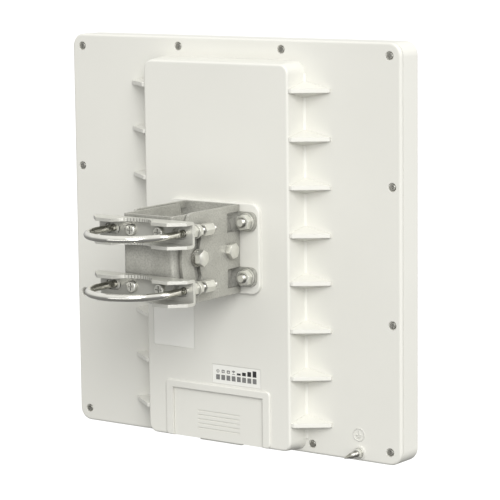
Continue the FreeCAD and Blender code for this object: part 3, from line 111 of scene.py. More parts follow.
# ---------------------------------------------------------------- materials
# Sockets of a colour Mix node, whose names repeat for each data type.
MIX_FIRST, MIX_SECOND, MIX_RESULT = 6, 7, 2


class Shader:
    """A material's node tree, built by name."""

    def __init__(self, name):
        self.material = bpy.data.materials.new(name)
        self.material.use_nodes = True
        self.tree = self.material.node_tree
        self.tree.nodes.clear()
        output = self.add("ShaderNodeOutputMaterial")
        self.surface = self.add("ShaderNodeBsdfPrincipled")
        self.link(self.surface, "BSDF", output, "Surface")
        self.place = self.add("ShaderNodeTexCoord")

    def add(self, kind, **settings):
        """New node. A setting is one of its own values, or else the value of an input."""
        item = self.tree.nodes.new(kind)
        for key, value in settings.items():
            if hasattr(item, key):
                setattr(item, key, value)
            else:
                item.inputs[key.replace("_", " ").title()].default_value = value
        return item

    def link(self, source, output, target, slot):
        self.tree.links.new(source.outputs[output], target.inputs[slot])

    def noise(self, scale, detail=3.0, stretch=None):
        """Noise in metres: `scale` features to the metre, stretched by three factors."""
        item = self.add("ShaderNodeTexNoise", scale=scale, detail=detail)
        source, output = self.place, "Object"
        if stretch is not None:
            mapping = self.add("ShaderNodeMapping")
            mapping.inputs["Scale"].default_value = stretch
            self.link(source, output, mapping, "Vector")
            source, output = mapping, "Vector"
        self.link(source, output, item, "Vector")
        return item

    def blend(self, factor, output, first, second, low=0.3, high=0.7):
        """Colour between two tones as the factor goes from low to high."""
        ramp = self.add("ShaderNodeValToRGB")
        ramp.color_ramp.elements[0].position = low
        ramp.color_ramp.elements[1].position = high
        ramp.color_ramp.elements[0].color = (*first, 1)
        ramp.color_ramp.elements[1].color = (*second, 1)
        self.link(factor, output, ramp, "Fac")
        return ramp

    def spread(self, factor, output, low, high):
        """Number from low to high as the factor goes from 0 to 1."""
        item = self.add("ShaderNodeMapRange")
        item.inputs["To Min"].default_value = low
        item.inputs["To Max"].default_value = high
        self.link(factor, output, item, "Value")
        return item


def finish_of(
    name,
    tones,
    metal=0.0,
    rough=(0.4, 0.5),
    grain=(1500.0, 0.01),
    cloud=18.0,
    stretch=None,
    specks=None,
    edge=0.0,
    coat=0.0,
    painted_shade_reach=0.0,
):
    """A moulded, painted or metal finish: clouded colour, uneven roughness and fine relief.

    grain is its features to the metre and their height in mm, cloud the colour patches to the
    metre, specks (features to the metre, strength, tone, and the noise levels where they start
    and are full), edge the softened radius of edges and crevice the reach of the painted shade
    that darkens the colour in creases and between parts, in mm.
    """
    shader = Shader(name)
    surface = shader.surface
    surface.inputs["Metallic"].default_value = metal
    surface.inputs["Coat Weight"].default_value = coat
    surface.inputs["Coat Roughness"].default_value = 0.15
    clouds = shader.noise(cloud, 4.0, stretch)
    colour = shader.blend(clouds, "Fac", tones[0], tones[1]).outputs["Color"]
    fine = shader.noise(grain[0], 4.0, stretch)
    if specks is not None:
        scale, share, tone, start, end = specks
        dots = shader.noise(scale, 2.0)
        gate = shader.add("ShaderNodeMapRange")
        gate.inputs["From Min"].default_value = start
        gate.inputs["From Max"].default_value = end
        gate.inputs["To Max"].default_value = share
        shader.link(dots, "Fac", gate, "Value")
        mix = shader.add("ShaderNodeMix", data_type="RGBA")
        mix.inputs[MIX_SECOND].default_value = (*tone, 1)
        shader.link(gate, "Result", mix, "Factor")
        shader.tree.links.new(colour, mix.inputs[MIX_FIRST])
        colour = mix.outputs[MIX_RESULT]
    # Painted shade: ambient occlusion darkens the base colour in creases, in hollows and between
    # parts, where shade falls.
    if painted_shade_reach:
        hollow = shader.add("ShaderNodeAmbientOcclusion", samples=8)
        hollow.inputs["Distance"].default_value = painted_shade_reach * MM
        painted_shade_factor = shader.spread(hollow, "AO", 0.45, 1.0)
        tint = shader.add("ShaderNodeMix", data_type="RGBA", blend_type="MULTIPLY")
        tint.inputs["Factor"].default_value = 1.0
        shader.tree.links.new(colour, tint.inputs[MIX_FIRST])
        shader.link(painted_shade_factor, "Result", tint, MIX_SECOND)
        colour = tint.outputs[MIX_RESULT]
    shader.tree.links.new(colour, surface.inputs["Base Color"])
    patchy = shader.noise(cloud * 6, 3.0)
    gloss = shader.spread(patchy, "Fac", rough[0], rough[1])
    shader.link(gloss, "Result", surface, "Roughness")
    bump = shader.add("ShaderNodeBump")
    bump.inputs["Strength"].default_value = 1.0
    bump.inputs["Distance"].default_value = grain[1] * MM
    shader.link(fine, "Fac", bump, "Height")
    if edge:
        bevel = shader.add("ShaderNodeBevel", samples=4)
        bevel.inputs["Radius"].default_value = edge * MM
        shader.link(bevel, "Normal", bump, "Normal")
    shader.link(bump, "Normal", surface, "Normal")
    return shader.material


def circuit_board(name, mask, track):
    """Solder mask over a faint grid of tracks."""
    shader = Shader(name)
    bricks = shader.add("ShaderNodeTexBrick", scale=160.0)
    bricks.inputs["Color1"].default_value = (*mask, 1)
    bricks.inputs["Color2"].default_value = (*[v * 0.8 for v in mask], 1)
    bricks.inputs["Mortar"].default_value = (*track, 1)
    bricks.inputs["Mortar Size"].default_value = 0.03
    mapping = shader.add("ShaderNodeMapping")
    mapping.inputs["Rotation"].default_value = (math.radians(90), 0, 0)
    shader.link(shader.place, "Object", mapping, "Vector")
    shader.link(mapping, "Vector", bricks, "Vector")
    shader.link(bricks, "Color", shader.surface, "Base Color")
    fine = shader.noise(900.0)
    gloss = shader.spread(fine, "Fac", 0.25, 0.4)
    shader.link(gloss, "Result", shader.surface, "Roughness")
    return shader.material


PLASTIC = ((0.702, 0.695, 0.642), (0.722, 0.715, 0.662))
MATERIALS = {
    "housing": finish_of(
        "housing_plastic", PLASTIC, rough=(0.38, 0.46), grain=(2600.0, 0.006), cloud=9.0, edge=0.9
    ),
    "hatch": finish_of(
        "hatch_plastic", PLASTIC, rough=(0.4, 0.5), grain=(2600.0, 0.008), cloud=9.0, edge=0.35
    ),
    "bracket": finish_of(
        "bracket_coat",
        ((0.45, 0.445, 0.40), (0.54, 0.535, 0.485)),
        metal=0.3,
        rough=(0.34, 0.5),
        grain=(500.0, 0.55),
        cloud=55.0,
        specks=(640.0, 0.46, (0.27, 0.265, 0.235), 0.42, 0.70),
        edge=0.7,
        painted_shade_reach=14.0,
    ),
    "saddle": finish_of(
        "saddle_steel",
        ((0.60, 0.595, 0.545), (0.67, 0.665, 0.61)),
        metal=0.5,
        rough=(0.26, 0.36),
        grain=(1600.0, 0.008),
        cloud=40.0,
        edge=0.35,
        painted_shade_reach=26.0,
    ),
    "zinc": finish_of(
        "bright_zinc",
        ((0.70, 0.695, 0.64), (0.78, 0.775, 0.715)),
        metal=0.7,
        rough=(0.26, 0.38),
        grain=(2400.0, 0.006),
        cloud=220.0,
        edge=0.18,
        painted_shade_reach=5.0,
    ),
    # Darker steel, which is also painted shade: it darkens the thread flanks and the cover screws
    # in their recesses.
    "screw": finish_of(
        "dark_steel_and_painted_shade",
        ((0.36, 0.355, 0.32), (0.5, 0.49, 0.45)),
        metal=1.0,
        rough=(0.28, 0.42),
        grain=(2400.0, 0.008),
        cloud=260.0,
        edge=0.15,
    ),
    "rod": finish_of(
        "polished_rod",
        ((0.79, 0.78, 0.72), (0.87, 0.86, 0.80)),
        metal=1.0,
        rough=(0.12, 0.2),
        grain=(700.0, 0.004),
        cloud=90.0,
    ),
    "seal": finish_of(
        "seal_rubber",
        ((0.66, 0.655, 0.61), (0.70, 0.695, 0.65)),
        rough=(0.6, 0.75),
        grain=(1800.0, 0.01),
    ),
    "grommet": finish_of(
        "grommet_rubber",
        ((0.60, 0.595, 0.55), (0.66, 0.655, 0.61)),
        rough=(0.55, 0.7),
        grain=(1800.0, 0.015),
        edge=0.3,
    ),
    "aluminium": finish_of(
        "mill_aluminium",
        ((0.74, 0.75, 0.76), (0.82, 0.83, 0.84)),
        metal=1.0,
        rough=(0.25, 0.4),
        grain=(500.0, 0.004),
        stretch=(1.0, 1.0, 14.0),
    ),
    "copper": finish_of(
        "bare_copper",
        ((0.72, 0.40, 0.22), (0.80, 0.49, 0.28)),
        metal=1.0,
        rough=(0.25, 0.35),
        grain=(1200.0, 0.003),
    ),
    "chip": finish_of(
        "chip_resin",
        ((0.03, 0.03, 0.035), (0.045, 0.045, 0.05)),
        rough=(0.5, 0.6),
        grain=(2600.0, 0.006),
    ),
    "jack": finish_of(
        "jack_plastic",
        ((0.035, 0.035, 0.04), (0.05, 0.05, 0.055)),
        rough=(0.3, 0.4),
        grain=(2200.0, 0.006),
        edge=0.2,
    ),
    "nylon": finish_of(
        "nylon", ((0.80, 0.80, 0.76), (0.84, 0.84, 0.80)), rough=(0.5, 0.6), grain=(1600.0, 0.006)
    ),
    "light": finish_of(
        "light_lens",
        ((0.17, 0.17, 0.165), (0.23, 0.23, 0.22)),
        rough=(0.2, 0.3),
        grain=(1500.0, 0.01),
        cloud=700.0,
        coat=0.3,
    ),
    "label": finish_of(
        "label_film",
        ((0.79, 0.785, 0.735), (0.81, 0.805, 0.758)),
        rough=(0.34, 0.42),
        grain=(1900.0, 0.003),
        cloud=30.0,
    ),
    "ink": finish_of(
        "label_ink",
        ((0.018, 0.018, 0.018), (0.03, 0.03, 0.03)),
        rough=(0.4, 0.5),
        grain=(1900.0, 0.002),
    ),
    "board": circuit_board("board_mask", (0.02, 0.12, 0.06), (0.05, 0.22, 0.12)),
}

DRESS = {
    "housing": ("rear_cover", "cover_gussets", "radome"),
    "hatch": ("hatch_cover",),
    "bracket": ("inner_bracket", "outer_bracket"),
    "saddle": ("saddle_upper", "saddle_lower"),
    "zinc": (
        "saddle_screws", "saddle_nuts", "pivot_bolts", "pivot_nuts", "lock_bolts", "lock_nuts",
        "clamp_washers", "clamp_nuts", "ubolt_upper_nuts", "ubolt_lower_nuts",
        "mount_studs", "mount_washers", "mount_nuts", "reflector_screws", "board_screws",
        "earth_stud", "earth_washers", "earth_nut", "mount_backplate",
    ),
    # The cover screws take the darker steel as painted shade of the recesses they sit in.
    "screw": ("cover_screws",),
    "rod": ("ubolt_upper", "ubolt_lower"),
    "seal": ("cover_gasket",),
    "grommet": ("cable_grommet",),
    "aluminium": ("reflector_plate", "shield_cans", "heat_sink"),
    "nylon": ("array_spacers",),
    "copper": ("patch_elements", "feed_pins"),
    "chip": ("board_chips",),
    "jack": ("ethernet_jacks",),
    "light": ("light_pipes",),
    "label": ("led_label", "blank_label"),
    "board": ("array_board", "radio_board"),
}

for material_name, members in DRESS.items():
    for member in members:
        slots = nodes[member].data.materials
        slots.clear()
        slots.append(MATERIALS[material_name])

# ---------------------------------------------------------------- mesh helpers
ALONG_Y = Matrix(((1, 0, 0), (0, 0, 1), (0, 1, 0))).transposed()
ALONG_X = Matrix(((0, 1, 0), (0, 0, 1), (1, 0, 0))).transposed()


def four(x, z):
    """The four spots that mirror one, in X and in Z."""
    return [(sx * x, sz * z) for sx in (-1, 1) for sz in (-1, 1)]


def facing(basis, way):
    """The basis with its third axis turned round when way is -1."""
    turned = basis.copy()
    if way < 0:
        turned.col[2] = -turned.col[2]
    return turned


def skin(bm, rows, closed, tone=0):
    """Faces between neighbouring rows of points, with a cap on each end unless closed."""
    pairs = list(zip(rows, rows[1:]))
    if closed:
        pairs.append((rows[-1], rows[0]))
    count = len(rows[0])
    for low, high in pairs:
        for index in range(count):
            after = (index + 1) % count
            side = bm.faces.new((low[index], low[after], high[after], high[index]))
            side.material_index = tone
    if not closed:
        bm.faces.new(rows[0])
        bm.faces.new(rows[-1])


def shell(bm, origin, basis, rings, closed, tone=0):
    """Skin a stack of rings of (radius, angle, height) about the basis's third axis."""
    rows = []
    for ring in rings:
        row = []
        for radius, angle, height in ring:
            local = Vector((radius * math.cos(angle), radius * math.sin(angle), height))
            row.append(bm.verts.new(Vector(origin) + basis @ local))
        rows.append(row)
    skin(bm, rows, closed, tone)


def angles(count, turn=0.0):
    """Evenly spaced angles round a circle, in radians, from a turn in degrees."""
    return [math.radians(turn) + 2 * math.pi * index / count for index in range(count)]


def lathe(bm, origin, basis, profile, closed=False, count=48):
    """Turned part from (radius, height) pairs."""
    rings = [[(radius, a, height) for a in angles(count)] for radius, height in profile]
    shell(bm, origin, basis, rings, closed)


def hex_part(bm, origin, basis, flats, height, bore=0.0, turn=0.0, ends=(True, True)):
    """Hexagon with corners chamfered at its ends, and a bore with a small lead-in."""
    apothem = flats / 2
    shoulder = apothem * 0.96
    slope = math.tan(math.radians(28))  # of the chamfer
    around = angles(72, turn)

    def corner(angle):
        local = (math.degrees(angle) - turn) % 60
        return apothem / math.cos(math.radians(local - 30))

    def ring(radius, level):
        return [(radius, a, level) for a in around]

    def cut(angle, end):
        return (corner(angle) - shoulder) * slope if ends[end] else 0.0

    low_side = [(corner(a), a, cut(a, 0)) for a in around]
    high_side = [(corner(a), a, height - cut(a, 1)) for a in around]
    rings = []
    if ends[0]:
        rings.append(ring(shoulder, 0.0))
    rings += [low_side, high_side]
    if ends[1]:
        rings.append(ring(shoulder, height))
    if bore:
        lead = 0.45 * MM
        rings.append(ring(bore + lead, height))
        rings.append(ring(bore, height - lead))
        rings.append(ring(bore, lead))
        rings.append(ring(bore + lead, 0.0))
    shell(bm, origin, basis, rings, bool(bore))


def thread(bm, origin, basis, radius, length, pitch, point=0.0, plain=0.0):
    """Threaded rod: a plain stretch, then a screwed one, with a chamfered or pointed end."""
    depth = pitch * 0.52
    tip = radius * 0.18  # least radius, at the very end
    around = angles(26)
    rings = []
    if plain:
        rings.append([(radius, a, 0.0) for a in around])
        rings.append([(radius, a, plain) for a in around])
    steps = max(2, int((length - plain) / pitch * 6))  # six rings to a turn
    for index in range(steps + 1):
        level = plain + (length - plain) * index / steps
        if plain and index == 0:
            continue
        if point:
            cap = radius * 0.2 + (length - level) * 0.8 * radius / point
        else:
            cap = radius - depth * 1.1 + (length - level)
        ring = []
        for a in around:
            phase = (level / pitch - a / (2 * math.pi)) % 1.0
            wave = abs(phase * 2 - 1)
            fade = min(1.0, (level - plain) / pitch) if plain else 1.0
            size = radius - depth * fade * min(1.0, max(0.0, wave * 1.5 - 0.25))
            ring.append((min(size, max(cap, tip)), a, level))
        rings.append(ring)
    # The sides of the thread take tone 1, the darker screw steel: painted shade in the thread's
    # grooves. Its end faces keep the piece's own finish.
    shell(bm, origin, basis, rings, False, tone=1)


def washer(bm, origin, basis, outer, bore, thick):
    """Flat washer with its rolled edges."""
    edge = min(0.25 * MM, thick * 0.25)
    profile = [
        (bore, edge * 0.5),
        (bore + edge * 0.5, 0.0),
        (outer - edge, 0.0),
        (outer - edge * 0.3, edge * 0.3),
        (outer, edge),
        (outer, thick - edge),
        (outer - edge * 0.3, thick - edge * 0.3),
        (outer - edge, thick),
        (bore + edge * 0.5, thick),
        (bore, thick - edge * 0.5),
    ]
    lathe(bm, origin, basis, profile, closed=True)


def toothed(bm, origin, basis, outer, bore):
    """Spring washer whose rim is cut into slanted teeth."""
    teeth = 14
    notch = 1.1 * MM
    around = angles(teeth * 4)
    rings = []
    for level, shift in ((0.0, 0), (0.35, 1), (0.65, 1), (1.0, 2)):
        ring = []
        for index, a in enumerate(around):
            deep = (index + shift) % 4 == 0
            ring.append((outer - (notch if deep else 0.0), a, level * SPRING_WASHER))
        rings.append(ring)
    for level in (1.0, 0.0):
        rings.append([(bore, a, level * SPRING_WASHER) for a in around])
    shell(bm, origin, basis, rings, True)


def piece(bm, name, material, body, replaced=(), crease=32.0):
    """Turns a bmesh into a shaded piece that rides on a body.

    Faces of material index 1, the thread flanks, get the darker screw steel, painted shade for
    the grooves of the thread. Edges sharper than crease degrees stay sharp.
    """
    bmesh.ops.recalc_face_normals(bm, faces=bm.faces[:])
    for face in bm.faces:
        face.smooth = True
    limit = math.radians(crease)
    for edge in bm.edges:
        if len(edge.link_faces) == 2:
            edge.smooth = edge.calc_face_angle() < limit
    mesh = bpy.data.meshes.new(name)
    bm.to_mesh(mesh)
    bm.free()
    mesh.materials.append(MATERIALS[material])
    if any(face.material_index for face in mesh.polygons):
        mesh.materials.append(MATERIALS["screw"])
    item = bpy.data.objects.new(name, mesh)
    bpy.context.scene.collection.objects.link(item)
    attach(item, body)
    if replaced:
        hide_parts(*replaced)


# ---------------------------------------------------------------- U-bolts and their nuts
THREAD_START = 34.5 * MM
END_NUT = 13.0 * MM
END_NUT_SEAT = LEG_END - 17.5 * MM


def bow_path(leg_steps=12, bow_steps=72):
    """Points along the bent rod, each with the angle that faces out of the bend."""
    straight = THREAD_START - BOW_Y
    path = []
    for index in range(leg_steps + 1):
        path.append((-LEG_X, THREAD_START - straight * index / leg_steps, 180))
    for index in range(1, bow_steps):
        angle = 180 + 180 * index / bow_steps
        turn = math.radians(angle)
        path.append((LEG_X * math.cos(turn), BOW_Y + LEG_X * math.sin(turn), angle))
    for index in range(leg_steps + 1):
        path.append((LEG_X, BOW_Y + straight * index / leg_steps, 360))
    return path


def ubolt(name, level, body):
    """Bent rod with two screwed legs, and the long nuts on their ends."""
    bm = bmesh.new()
    rows = []
    for x, y, angle in bow_path():
        turn = math.radians(angle)
        out = Vector((math.cos(turn), math.sin(turn), 0))
        row = []
        for a in angles(32):
            offset = out * (ROD * math.cos(a)) + Vector((0, 0, ROD * math.sin(a)))
            row.append(bm.verts.new(Vector((x, y, level)) + offset))
        rows.append(row)
    skin(bm, rows, closed=False)
    overlap = 0.3 * MM
    length = LEG_END - THREAD_START + overlap
    for side in (-1, 1):
        origin = (side * LEG_X, THREAD_START - overlap, level)
        thread(bm, origin, ALONG_Y, ROD, length, PITCH_M6, plain=0.8 * MM)
    piece(bm, f"{name}_rod", "rod", body, (name,), crease=50.0)
    bm = bmesh.new()
    for side in (-1, 1):
        origin = (side * LEG_X, END_NUT_SEAT, level)
        hex_part(bm, origin, ALONG_Y, HEX_M6, END_NUT, ROD + NUT_PLAY)
    piece(bm, f"{name}_end_nuts", "zinc", body, (f"{name}_nuts",))


ubolt("ubolt_upper", LEG_Z, "ubolt_top")
ubolt("ubolt_lower", -LEG_Z, "ubolt_bottom")

NUT_M6 = 5.2 * MM
TALL_NUT_M6 = 6.8 * MM
CLAMP_WASHER = 6.6 * MM
washers, nuts = bmesh.new(), bmesh.new()
place = PLATE_FRONT
for row, tall in enumerate((TALL_NUT_M6, TALL_NUT_M6, NUT_M6)):
    for x, z in four(LEG_X, LEG_Z):
        washer(washers, (x, place, z), ALONG_Y, CLAMP_WASHER, ROD + WASHER_PLAY, WASHER)
        seat = (x, place + WASHER, z)
        hex_part(nuts, seat, ALONG_Y, HEX_M6, tall, ROD + NUT_PLAY, turn=15.0 * row)
    place += WASHER + tall
piece(washers, "clamp_washers_rolled", "zinc", "pole_bracket", ("clamp_washers",))
piece(nuts, "clamp_nuts_chamfered", "zinc", "pole_bracket", ("clamp_nuts",))

WEB = 3.0 * MM  # sheet between the saddle and its nuts
SADDLE_SCREW = 3.0 * MM
bm = bmesh.new()
for x, z in four(SADDLE_SCREW_X, LEG_Z):
    hex_part(bm, (x, PLATE_FRONT + WEB, z), ALONG_Y, HEX_M6, NUT_M6, SADDLE_SCREW + NUT_PLAY)
piece(bm, "saddle_nuts_chamfered", "zinc", "pole_bracket", ("saddle_nuts",))

# ---------------------------------------------------------------- tilt bolts
BEYOND_CHEEK = 9.5 * MM
LOCK_WASHER = 8.0 * MM
LOCK_TEETH = 7.0 * MM
SLIDE_GAP = 0.04 * MM  # keeps the lock washers off the cheek that slides under them


def cheek_bolts(name, y, seat, turn):
    """Hex bolts through both cheeks, heads outwards."""
    bm = bmesh.new()
    plain = seat - CHEEK_IN
    for side in (-1, 1):
        origin = (side * seat, y, 0)
        outward, inward = facing(ALONG_X, side), facing(ALONG_X, -side)
        hex_part(bm, origin, outward, HEX_M8, HEAD_M8, turn=turn, ends=(False, True))
        thread(bm, origin, inward, BOLT, plain + BEYOND_CHEEK, PITCH_M8, plain=plain)
    piece(bm, f"{name}_forged", "zinc", "pole_bracket", (name,))


def cheek_nuts(name, y):
    """The nuts of those bolts, inside the cheeks."""
    bm = bmesh.new()
    for side in (-1, 1):
        inward = facing(ALONG_X, -side)
        hex_part(bm, (side * CHEEK_IN, y, 0), inward, HEX_M8, NUT_M8, BOLT + NUT_PLAY)
    piece(bm, f"{name}_chamfered", "zinc", "pole_bracket", (name,))


cheek_bolts("pivot_bolts", PIVOT_Y, CHEEK_OUT, 10.0)
cheek_bolts("lock_bolts", LOCK_Y, CHEEK_OUT + WASHER + SPRING_WASHER, 30.0)
cheek_nuts("pivot_nuts", PIVOT_Y)
cheek_nuts("lock_nuts", LOCK_Y)
bm = bmesh.new()
for side in (-1, 1):
    outward = facing(ALONG_X, side)
    seat = (side * (CHEEK_OUT + SLIDE_GAP), LOCK_Y, 0)
    washer(bm, seat, outward, LOCK_WASHER, BOLT + WASHER_PLAY, WASHER - SLIDE_GAP)
    seat = (side * (CHEEK_OUT + WASHER), LOCK_Y, 0)
    toothed(bm, seat, outward, LOCK_TEETH, BOLT + WASHER_PLAY)
piece(bm, "lock_washers_toothed", "screw", "pole_bracket", ("lock_washers",))

# ---------------------------------------------------------------- mounting studs
TOWARDS_POLE = facing(ALONG_Y, -1)
STUD_HEAD = BACKPLATE + 3.0 * MM
STUD_TIP = BASE_FRONT - WASHER - NUT_M8 - 3.0 * MM
MOUNT_WASHER = 8.0 * MM
studs, nuts, washers = bmesh.new(), bmesh.new(), bmesh.new()
for x, z in four(STUD_X, STUD_Z):
    head = (x, STUD_HEAD, z)
    hex_part(studs, head, ALONG_Y, HEX_M8, HEAD_M8, turn=30.0, ends=(False, True))
    thread(studs, head, TOWARDS_POLE, BOLT, STUD_HEAD - STUD_TIP, PITCH_M8)
    seat = (x, BASE_FRONT, z)
    washer(washers, seat, TOWARDS_POLE, MOUNT_WASHER, BOLT + WASHER_PLAY, WASHER)
    seat = (x, BASE_FRONT - WASHER, z)
    hex_part(nuts, seat, TOWARDS_POLE, HEX_M8, NUT_M8, BOLT + NUT_PLAY, turn=12.0)
piece(studs, "mount_studs_screwed", "zinc", "antenna", ("mount_studs",))
piece(nuts, "mount_nuts_chamfered", "zinc", "antenna", ("mount_nuts",))
piece(washers, "mount_washers_rolled", "zinc", "antenna", ("mount_washers",))

# ---------------------------------------------------------------- earth point
EARTH_ROD = 2.5 * MM
EARTH_LENGTH = 28.5 * MM
EARTH_POINT = 10.0 * MM
EARTH_HEAD = [(0.4 * MM, 0), (4.0 * MM, 0), (4.0 * MM, 2.0 * MM), (3.4 * MM, 2.4 * MM)]
EARTH_BOSS = 0.8 * MM
EARTH_WASHER = 1.0 * MM
PITCH_M5 = 0.8 * MM
bm = bmesh.new()
head = (EARTH_X, FLANGE_INNER, EARTH_Z)
lathe(bm, head, ALONG_Y, EARTH_HEAD)
thread(bm, head, TOWARDS_POLE, EARTH_ROD, EARTH_LENGTH, PITCH_M5, point=EARTH_POINT)
piece(bm, "earth_stud_screwed", "zinc", "antenna", ("earth_stud",))
bm = bmesh.new()
seat = (EARTH_X, FLANGE_FACE - EARTH_BOSS, EARTH_Z)
washer(bm, seat, TOWARDS_POLE, 5.0 * MM, EARTH_ROD + 0.15 * MM, EARTH_WASHER)
piece(bm, "earth_washer_rolled", "zinc", "antenna", ("earth_washers",))
bm = bmesh.new()
seat = (EARTH_X, FLANGE_FACE - EARTH_BOSS - EARTH_WASHER, EARTH_Z)
hex_part(bm, seat, TOWARDS_POLE, 8.0 * MM, 4.0 * MM, EARTH_ROD + NUT_PLAY, turn=20.0)
piece(bm, "earth_nut_chamfered", "zinc", "antenna", ("earth_nut",))

# ---------------------------------------------------------------- status label marks
LIGHT_FIRST = 0.5 * MM
LIGHT_PITCH = 5.93 * MM
MARK_LOW = -118.7 * MM
MARK_MIDDLE = MARK_LOW + 1.9 * MM
LINE = 0.55 * MM
INK_BACK = BOX_FACE + 0.11 * MM
INK_FRONT = BOX_FACE + 0.06 * MM


def prism(bm, outline):
    """Thin print on the label, from its outline in X and Z."""
    near = [bm.verts.new((x, INK_FRONT, z)) for x, z in outline]
    far = [bm.verts.new((x, INK_BACK, z)) for x, z in outline]
    bm.faces.new(near)
    bm.faces.new(far)
    for index in range(len(outline)):
        after = (index + 1) % len(outline)
        bm.faces.new((near[index], near[after], far[after], far[index]))


def bar(bm, left, right, low, high):
    """Upright rectangle of print."""
    prism(bm, [(left, low), (right, low), (right, high), (left, high)])


def arc(bm, x, z, radius, start, end, steps=14):
    """A bent stroke about a point, between two angles in degrees."""
    inner, outer = radius - LINE / 2, radius + LINE / 2
    for index in range(steps):
        a = math.radians(start + (end - start) * index / steps)
        b = math.radians(start + (end - start) * (index + 1) / steps)
        prism(bm, [
            (x + inner * math.cos(a), z + inner * math.sin(a)),
            (x + outer * math.cos(a), z + outer * math.sin(a)),
            (x + outer * math.cos(b), z + outer * math.sin(b)),
            (x + inner * math.cos(b), z + inner * math.sin(b)),
        ])


def power_mark(bm, x):
    """A ring open at its top, with a stroke in the opening."""
    arc(bm, x, MARK_MIDDLE, 1.35 * MM, 125, 415)
    bar(bm, x - LINE / 2, x + LINE / 2, MARK_MIDDLE, MARK_MIDDLE + 1.8 * MM)


def port_mark(bm, x, number):
    """A socket outline with one pin more than its number."""
    wide, tall = 1.6 * MM, 1.4 * MM
    low, high = MARK_MIDDLE - tall, MARK_MIDDLE + tall
    bar(bm, x - wide, x + wide, high - LINE, high)
    bar(bm, x - wide, x - wide + LINE, low, high)
    bar(bm, x + wide - LINE, x + wide, low, high)
    bar(bm, x - wide, x + wide, low, low + LINE)
    pin_half = 0.18 * MM
    for pin in range(number + 1):
        pin_x = x - 0.4 * MM * number + 0.8 * MM * pin
        base = MARK_MIDDLE - 0.2 * MM
        bar(bm, pin_x - pin_half, pin_x + pin_half, base, MARK_MIDDLE + 0.7 * MM)


def radio_mark(bm, x):
    """Three arcs over a foot."""
    for reach in (0.7 * MM, 1.5 * MM, 2.3 * MM):
        arc(bm, x, MARK_LOW + 1.2 * MM, reach, 45, 135, 8)
    bar(bm, x - 1.5 * MM, x + 1.5 * MM, MARK_LOW + 0.1 * MM, MARK_LOW + 0.6 * MM)


def status_marks():
    """Generic signs over the first four lights and a signal scale over the last four."""
    bm = bmesh.new()
    power_mark(bm, LIGHT_FIRST)
    for number in (1, 2):
        port_mark(bm, LIGHT_FIRST + LIGHT_PITCH * number, number)
    radio_mark(bm, LIGHT_FIRST + LIGHT_PITCH * 3)
    half = 2.1 * MM
    for step, tall in enumerate((1.9 * MM, 3.2 * MM, 4.5 * MM, 5.7 * MM)):
        x = LIGHT_FIRST + LIGHT_PITCH * (4 + step)
        bar(bm, x - half, x + half, MARK_LOW, MARK_LOW + tall)
    piece(bm, "status_marks", "ink", "antenna")


status_marks()


# ---------------------------------------------------------------- studio
FLOOR_LEVEL = -0.42
FLOOR_REACH = 30.0
FLOOR_TONES = ((0.93, 0.93, 0.93), (0.95, 0.95, 0.95))
BACKDROP_RADIUS = 20.0
BACKDROP_TOP = 10.0
MIDDLE = Vector((0.0, 0.1, 0.0))
# Brightness of the surroundings from straight down, 0, to straight up, 1.
SKY = ((0.0, 0.18), (0.42, 0.27), (0.50, 0.52), (0.62, 0.82), (1.0, 1.0))
SUN_STRENGTH = 1.8
SUN_SPREAD = 34.0
SUN_FROM = Vector((0.58, -0.54, 0.50))
# Name, place, width and height, and power in watts.
SOFTBOXES = (
    ("strip", (1.75, -1.75, 0.45), (0.9, 2.0), 14.0),
    ("side", (1.95, 1.55, 0.55), (1.2, 1.6), 13.0),
    ("low", (0.15, -1.15, -0.26), (1.4, 0.25), 2.0),
)


def place_stage(name, points, faces, shader):
    """Part of the studio that the camera sees, but that throws no light on the object."""
    mesh = bpy.data.meshes.new(name)
    mesh.from_pydata(points, [], faces)
    mesh.materials.append(shader.material)
    item = bpy.data.objects.new(name, mesh)
    bpy.context.scene.collection.objects.link(item)
    item.visible_diffuse = False
    item.visible_glossy = False
    return item


def add_floor():
    """Plain pale floor below the object."""
    shader = Shader("floor_paint")
    tone = shader.blend(shader.noise(3.0), "Fac", *FLOOR_TONES)
    shader.link(tone, "Color", shader.surface, "Base Color")
    shader.surface.inputs["Roughness"].default_value = 0.9
    corners = ((-1, -1), (1, -1), (1, 1), (-1, 1))
    points = [(x * FLOOR_REACH, y * FLOOR_REACH, FLOOR_LEVEL) for x, y in corners]
    place_stage("floor", points, [(0, 1, 2, 3)], shader)


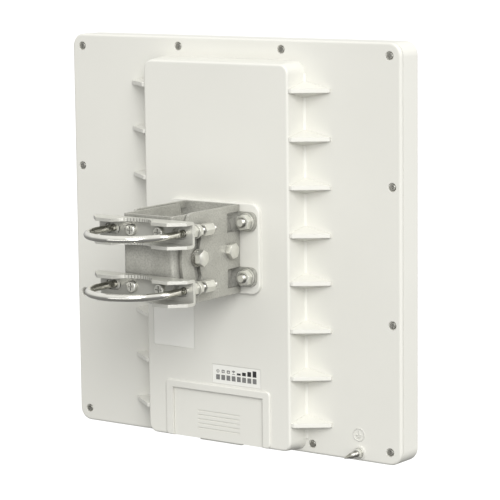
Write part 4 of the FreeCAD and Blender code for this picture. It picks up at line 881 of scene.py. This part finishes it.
def add_backdrop():
    """Pale ring behind everything, so that a low view sees no horizon."""
    points = []
    for turn in angles(48):
        x, y = BACKDROP_RADIUS * math.cos(turn), BACKDROP_RADIUS * math.sin(turn)
        points += [(x, y, FLOOR_LEVEL), (x, y, BACKDROP_TOP)]
    count = len(points)
    faces = [(i, (i + 2) % count, (i + 3) % count, i + 1) for i in range(0, count, 2)]
    shader = Shader("backdrop_paint")
    shader.surface.inputs["Base Color"].default_value = (0, 0, 0, 1)
    shader.surface.inputs["Roughness"].default_value = 1.0
    shader.surface.inputs["Emission Color"].default_value = (1, 1, 1, 1)
    shader.surface.inputs["Emission Strength"].default_value = 1.0
    shader.material.cycles.emission_sampling = "NONE"
    ring = place_stage("backdrop", points, faces, shader)
    ring.visible_shadow = False


def add_sky():
    """Light from all round, brighter towards the top."""
    world = bpy.data.worlds.new("studio")
    world.use_nodes = True
    tree = world.node_tree
    background = tree.nodes["Background"]
    background.inputs["Strength"].default_value = 1.0
    direction = tree.nodes.new("ShaderNodeTexCoord")
    split = tree.nodes.new("ShaderNodeSeparateXYZ")
    lift = tree.nodes.new("ShaderNodeMapRange")
    lift.inputs["From Min"].default_value = -1.0
    ramp = tree.nodes.new("ShaderNodeValToRGB")
    tree.links.new(direction.outputs["Generated"], split.inputs["Vector"])
    tree.links.new(split.outputs["Z"], lift.inputs["Value"])
    tree.links.new(lift.outputs["Result"], ramp.inputs["Fac"])
    tree.links.new(ramp.outputs["Color"], background.inputs["Color"])
    stops = ramp.color_ramp.elements
    while len(stops) < len(SKY):
        stops.new(0.5)
    for stop, (height, shade) in zip(stops, SKY):
        stop.position = height
        stop.color = (shade, shade, shade * 0.99, 1)
    bpy.context.scene.world = world


def add_lamp(data, spot, back):
    """Lamp at a spot, with its back turned towards a direction."""
    lamp = bpy.data.objects.new(data.name, data)
    lamp.location = spot
    lamp.rotation_euler = back.to_track_quat("Z", "Y").to_euler()
    bpy.context.scene.collection.objects.link(lamp)


def add_lights():
    """A wide sun as the key, and softboxes turned towards the middle of the object."""
    sun = bpy.data.lights.new("key", "SUN")
    sun.energy = SUN_STRENGTH
    sun.angle = math.radians(SUN_SPREAD)
    add_lamp(sun, (0, 0, 0), SUN_FROM)
    for name, spot, size, power in SOFTBOXES:
        box = bpy.data.lights.new(name, "AREA")
        box.shape = "RECTANGLE"
        box.size, box.size_y = size
        box.energy = power
        add_lamp(box, spot, Vector(spot) - MIDDLE)


def set_view():
    """Colours as they are, with no film look."""
    view = bpy.context.scene.view_settings
    view.view_transform = "Standard"
    view.look = "None"
    view.exposure = 0.0


add_floor()
add_backdrop()
add_sky()
add_lights()
set_view()
add_camera()
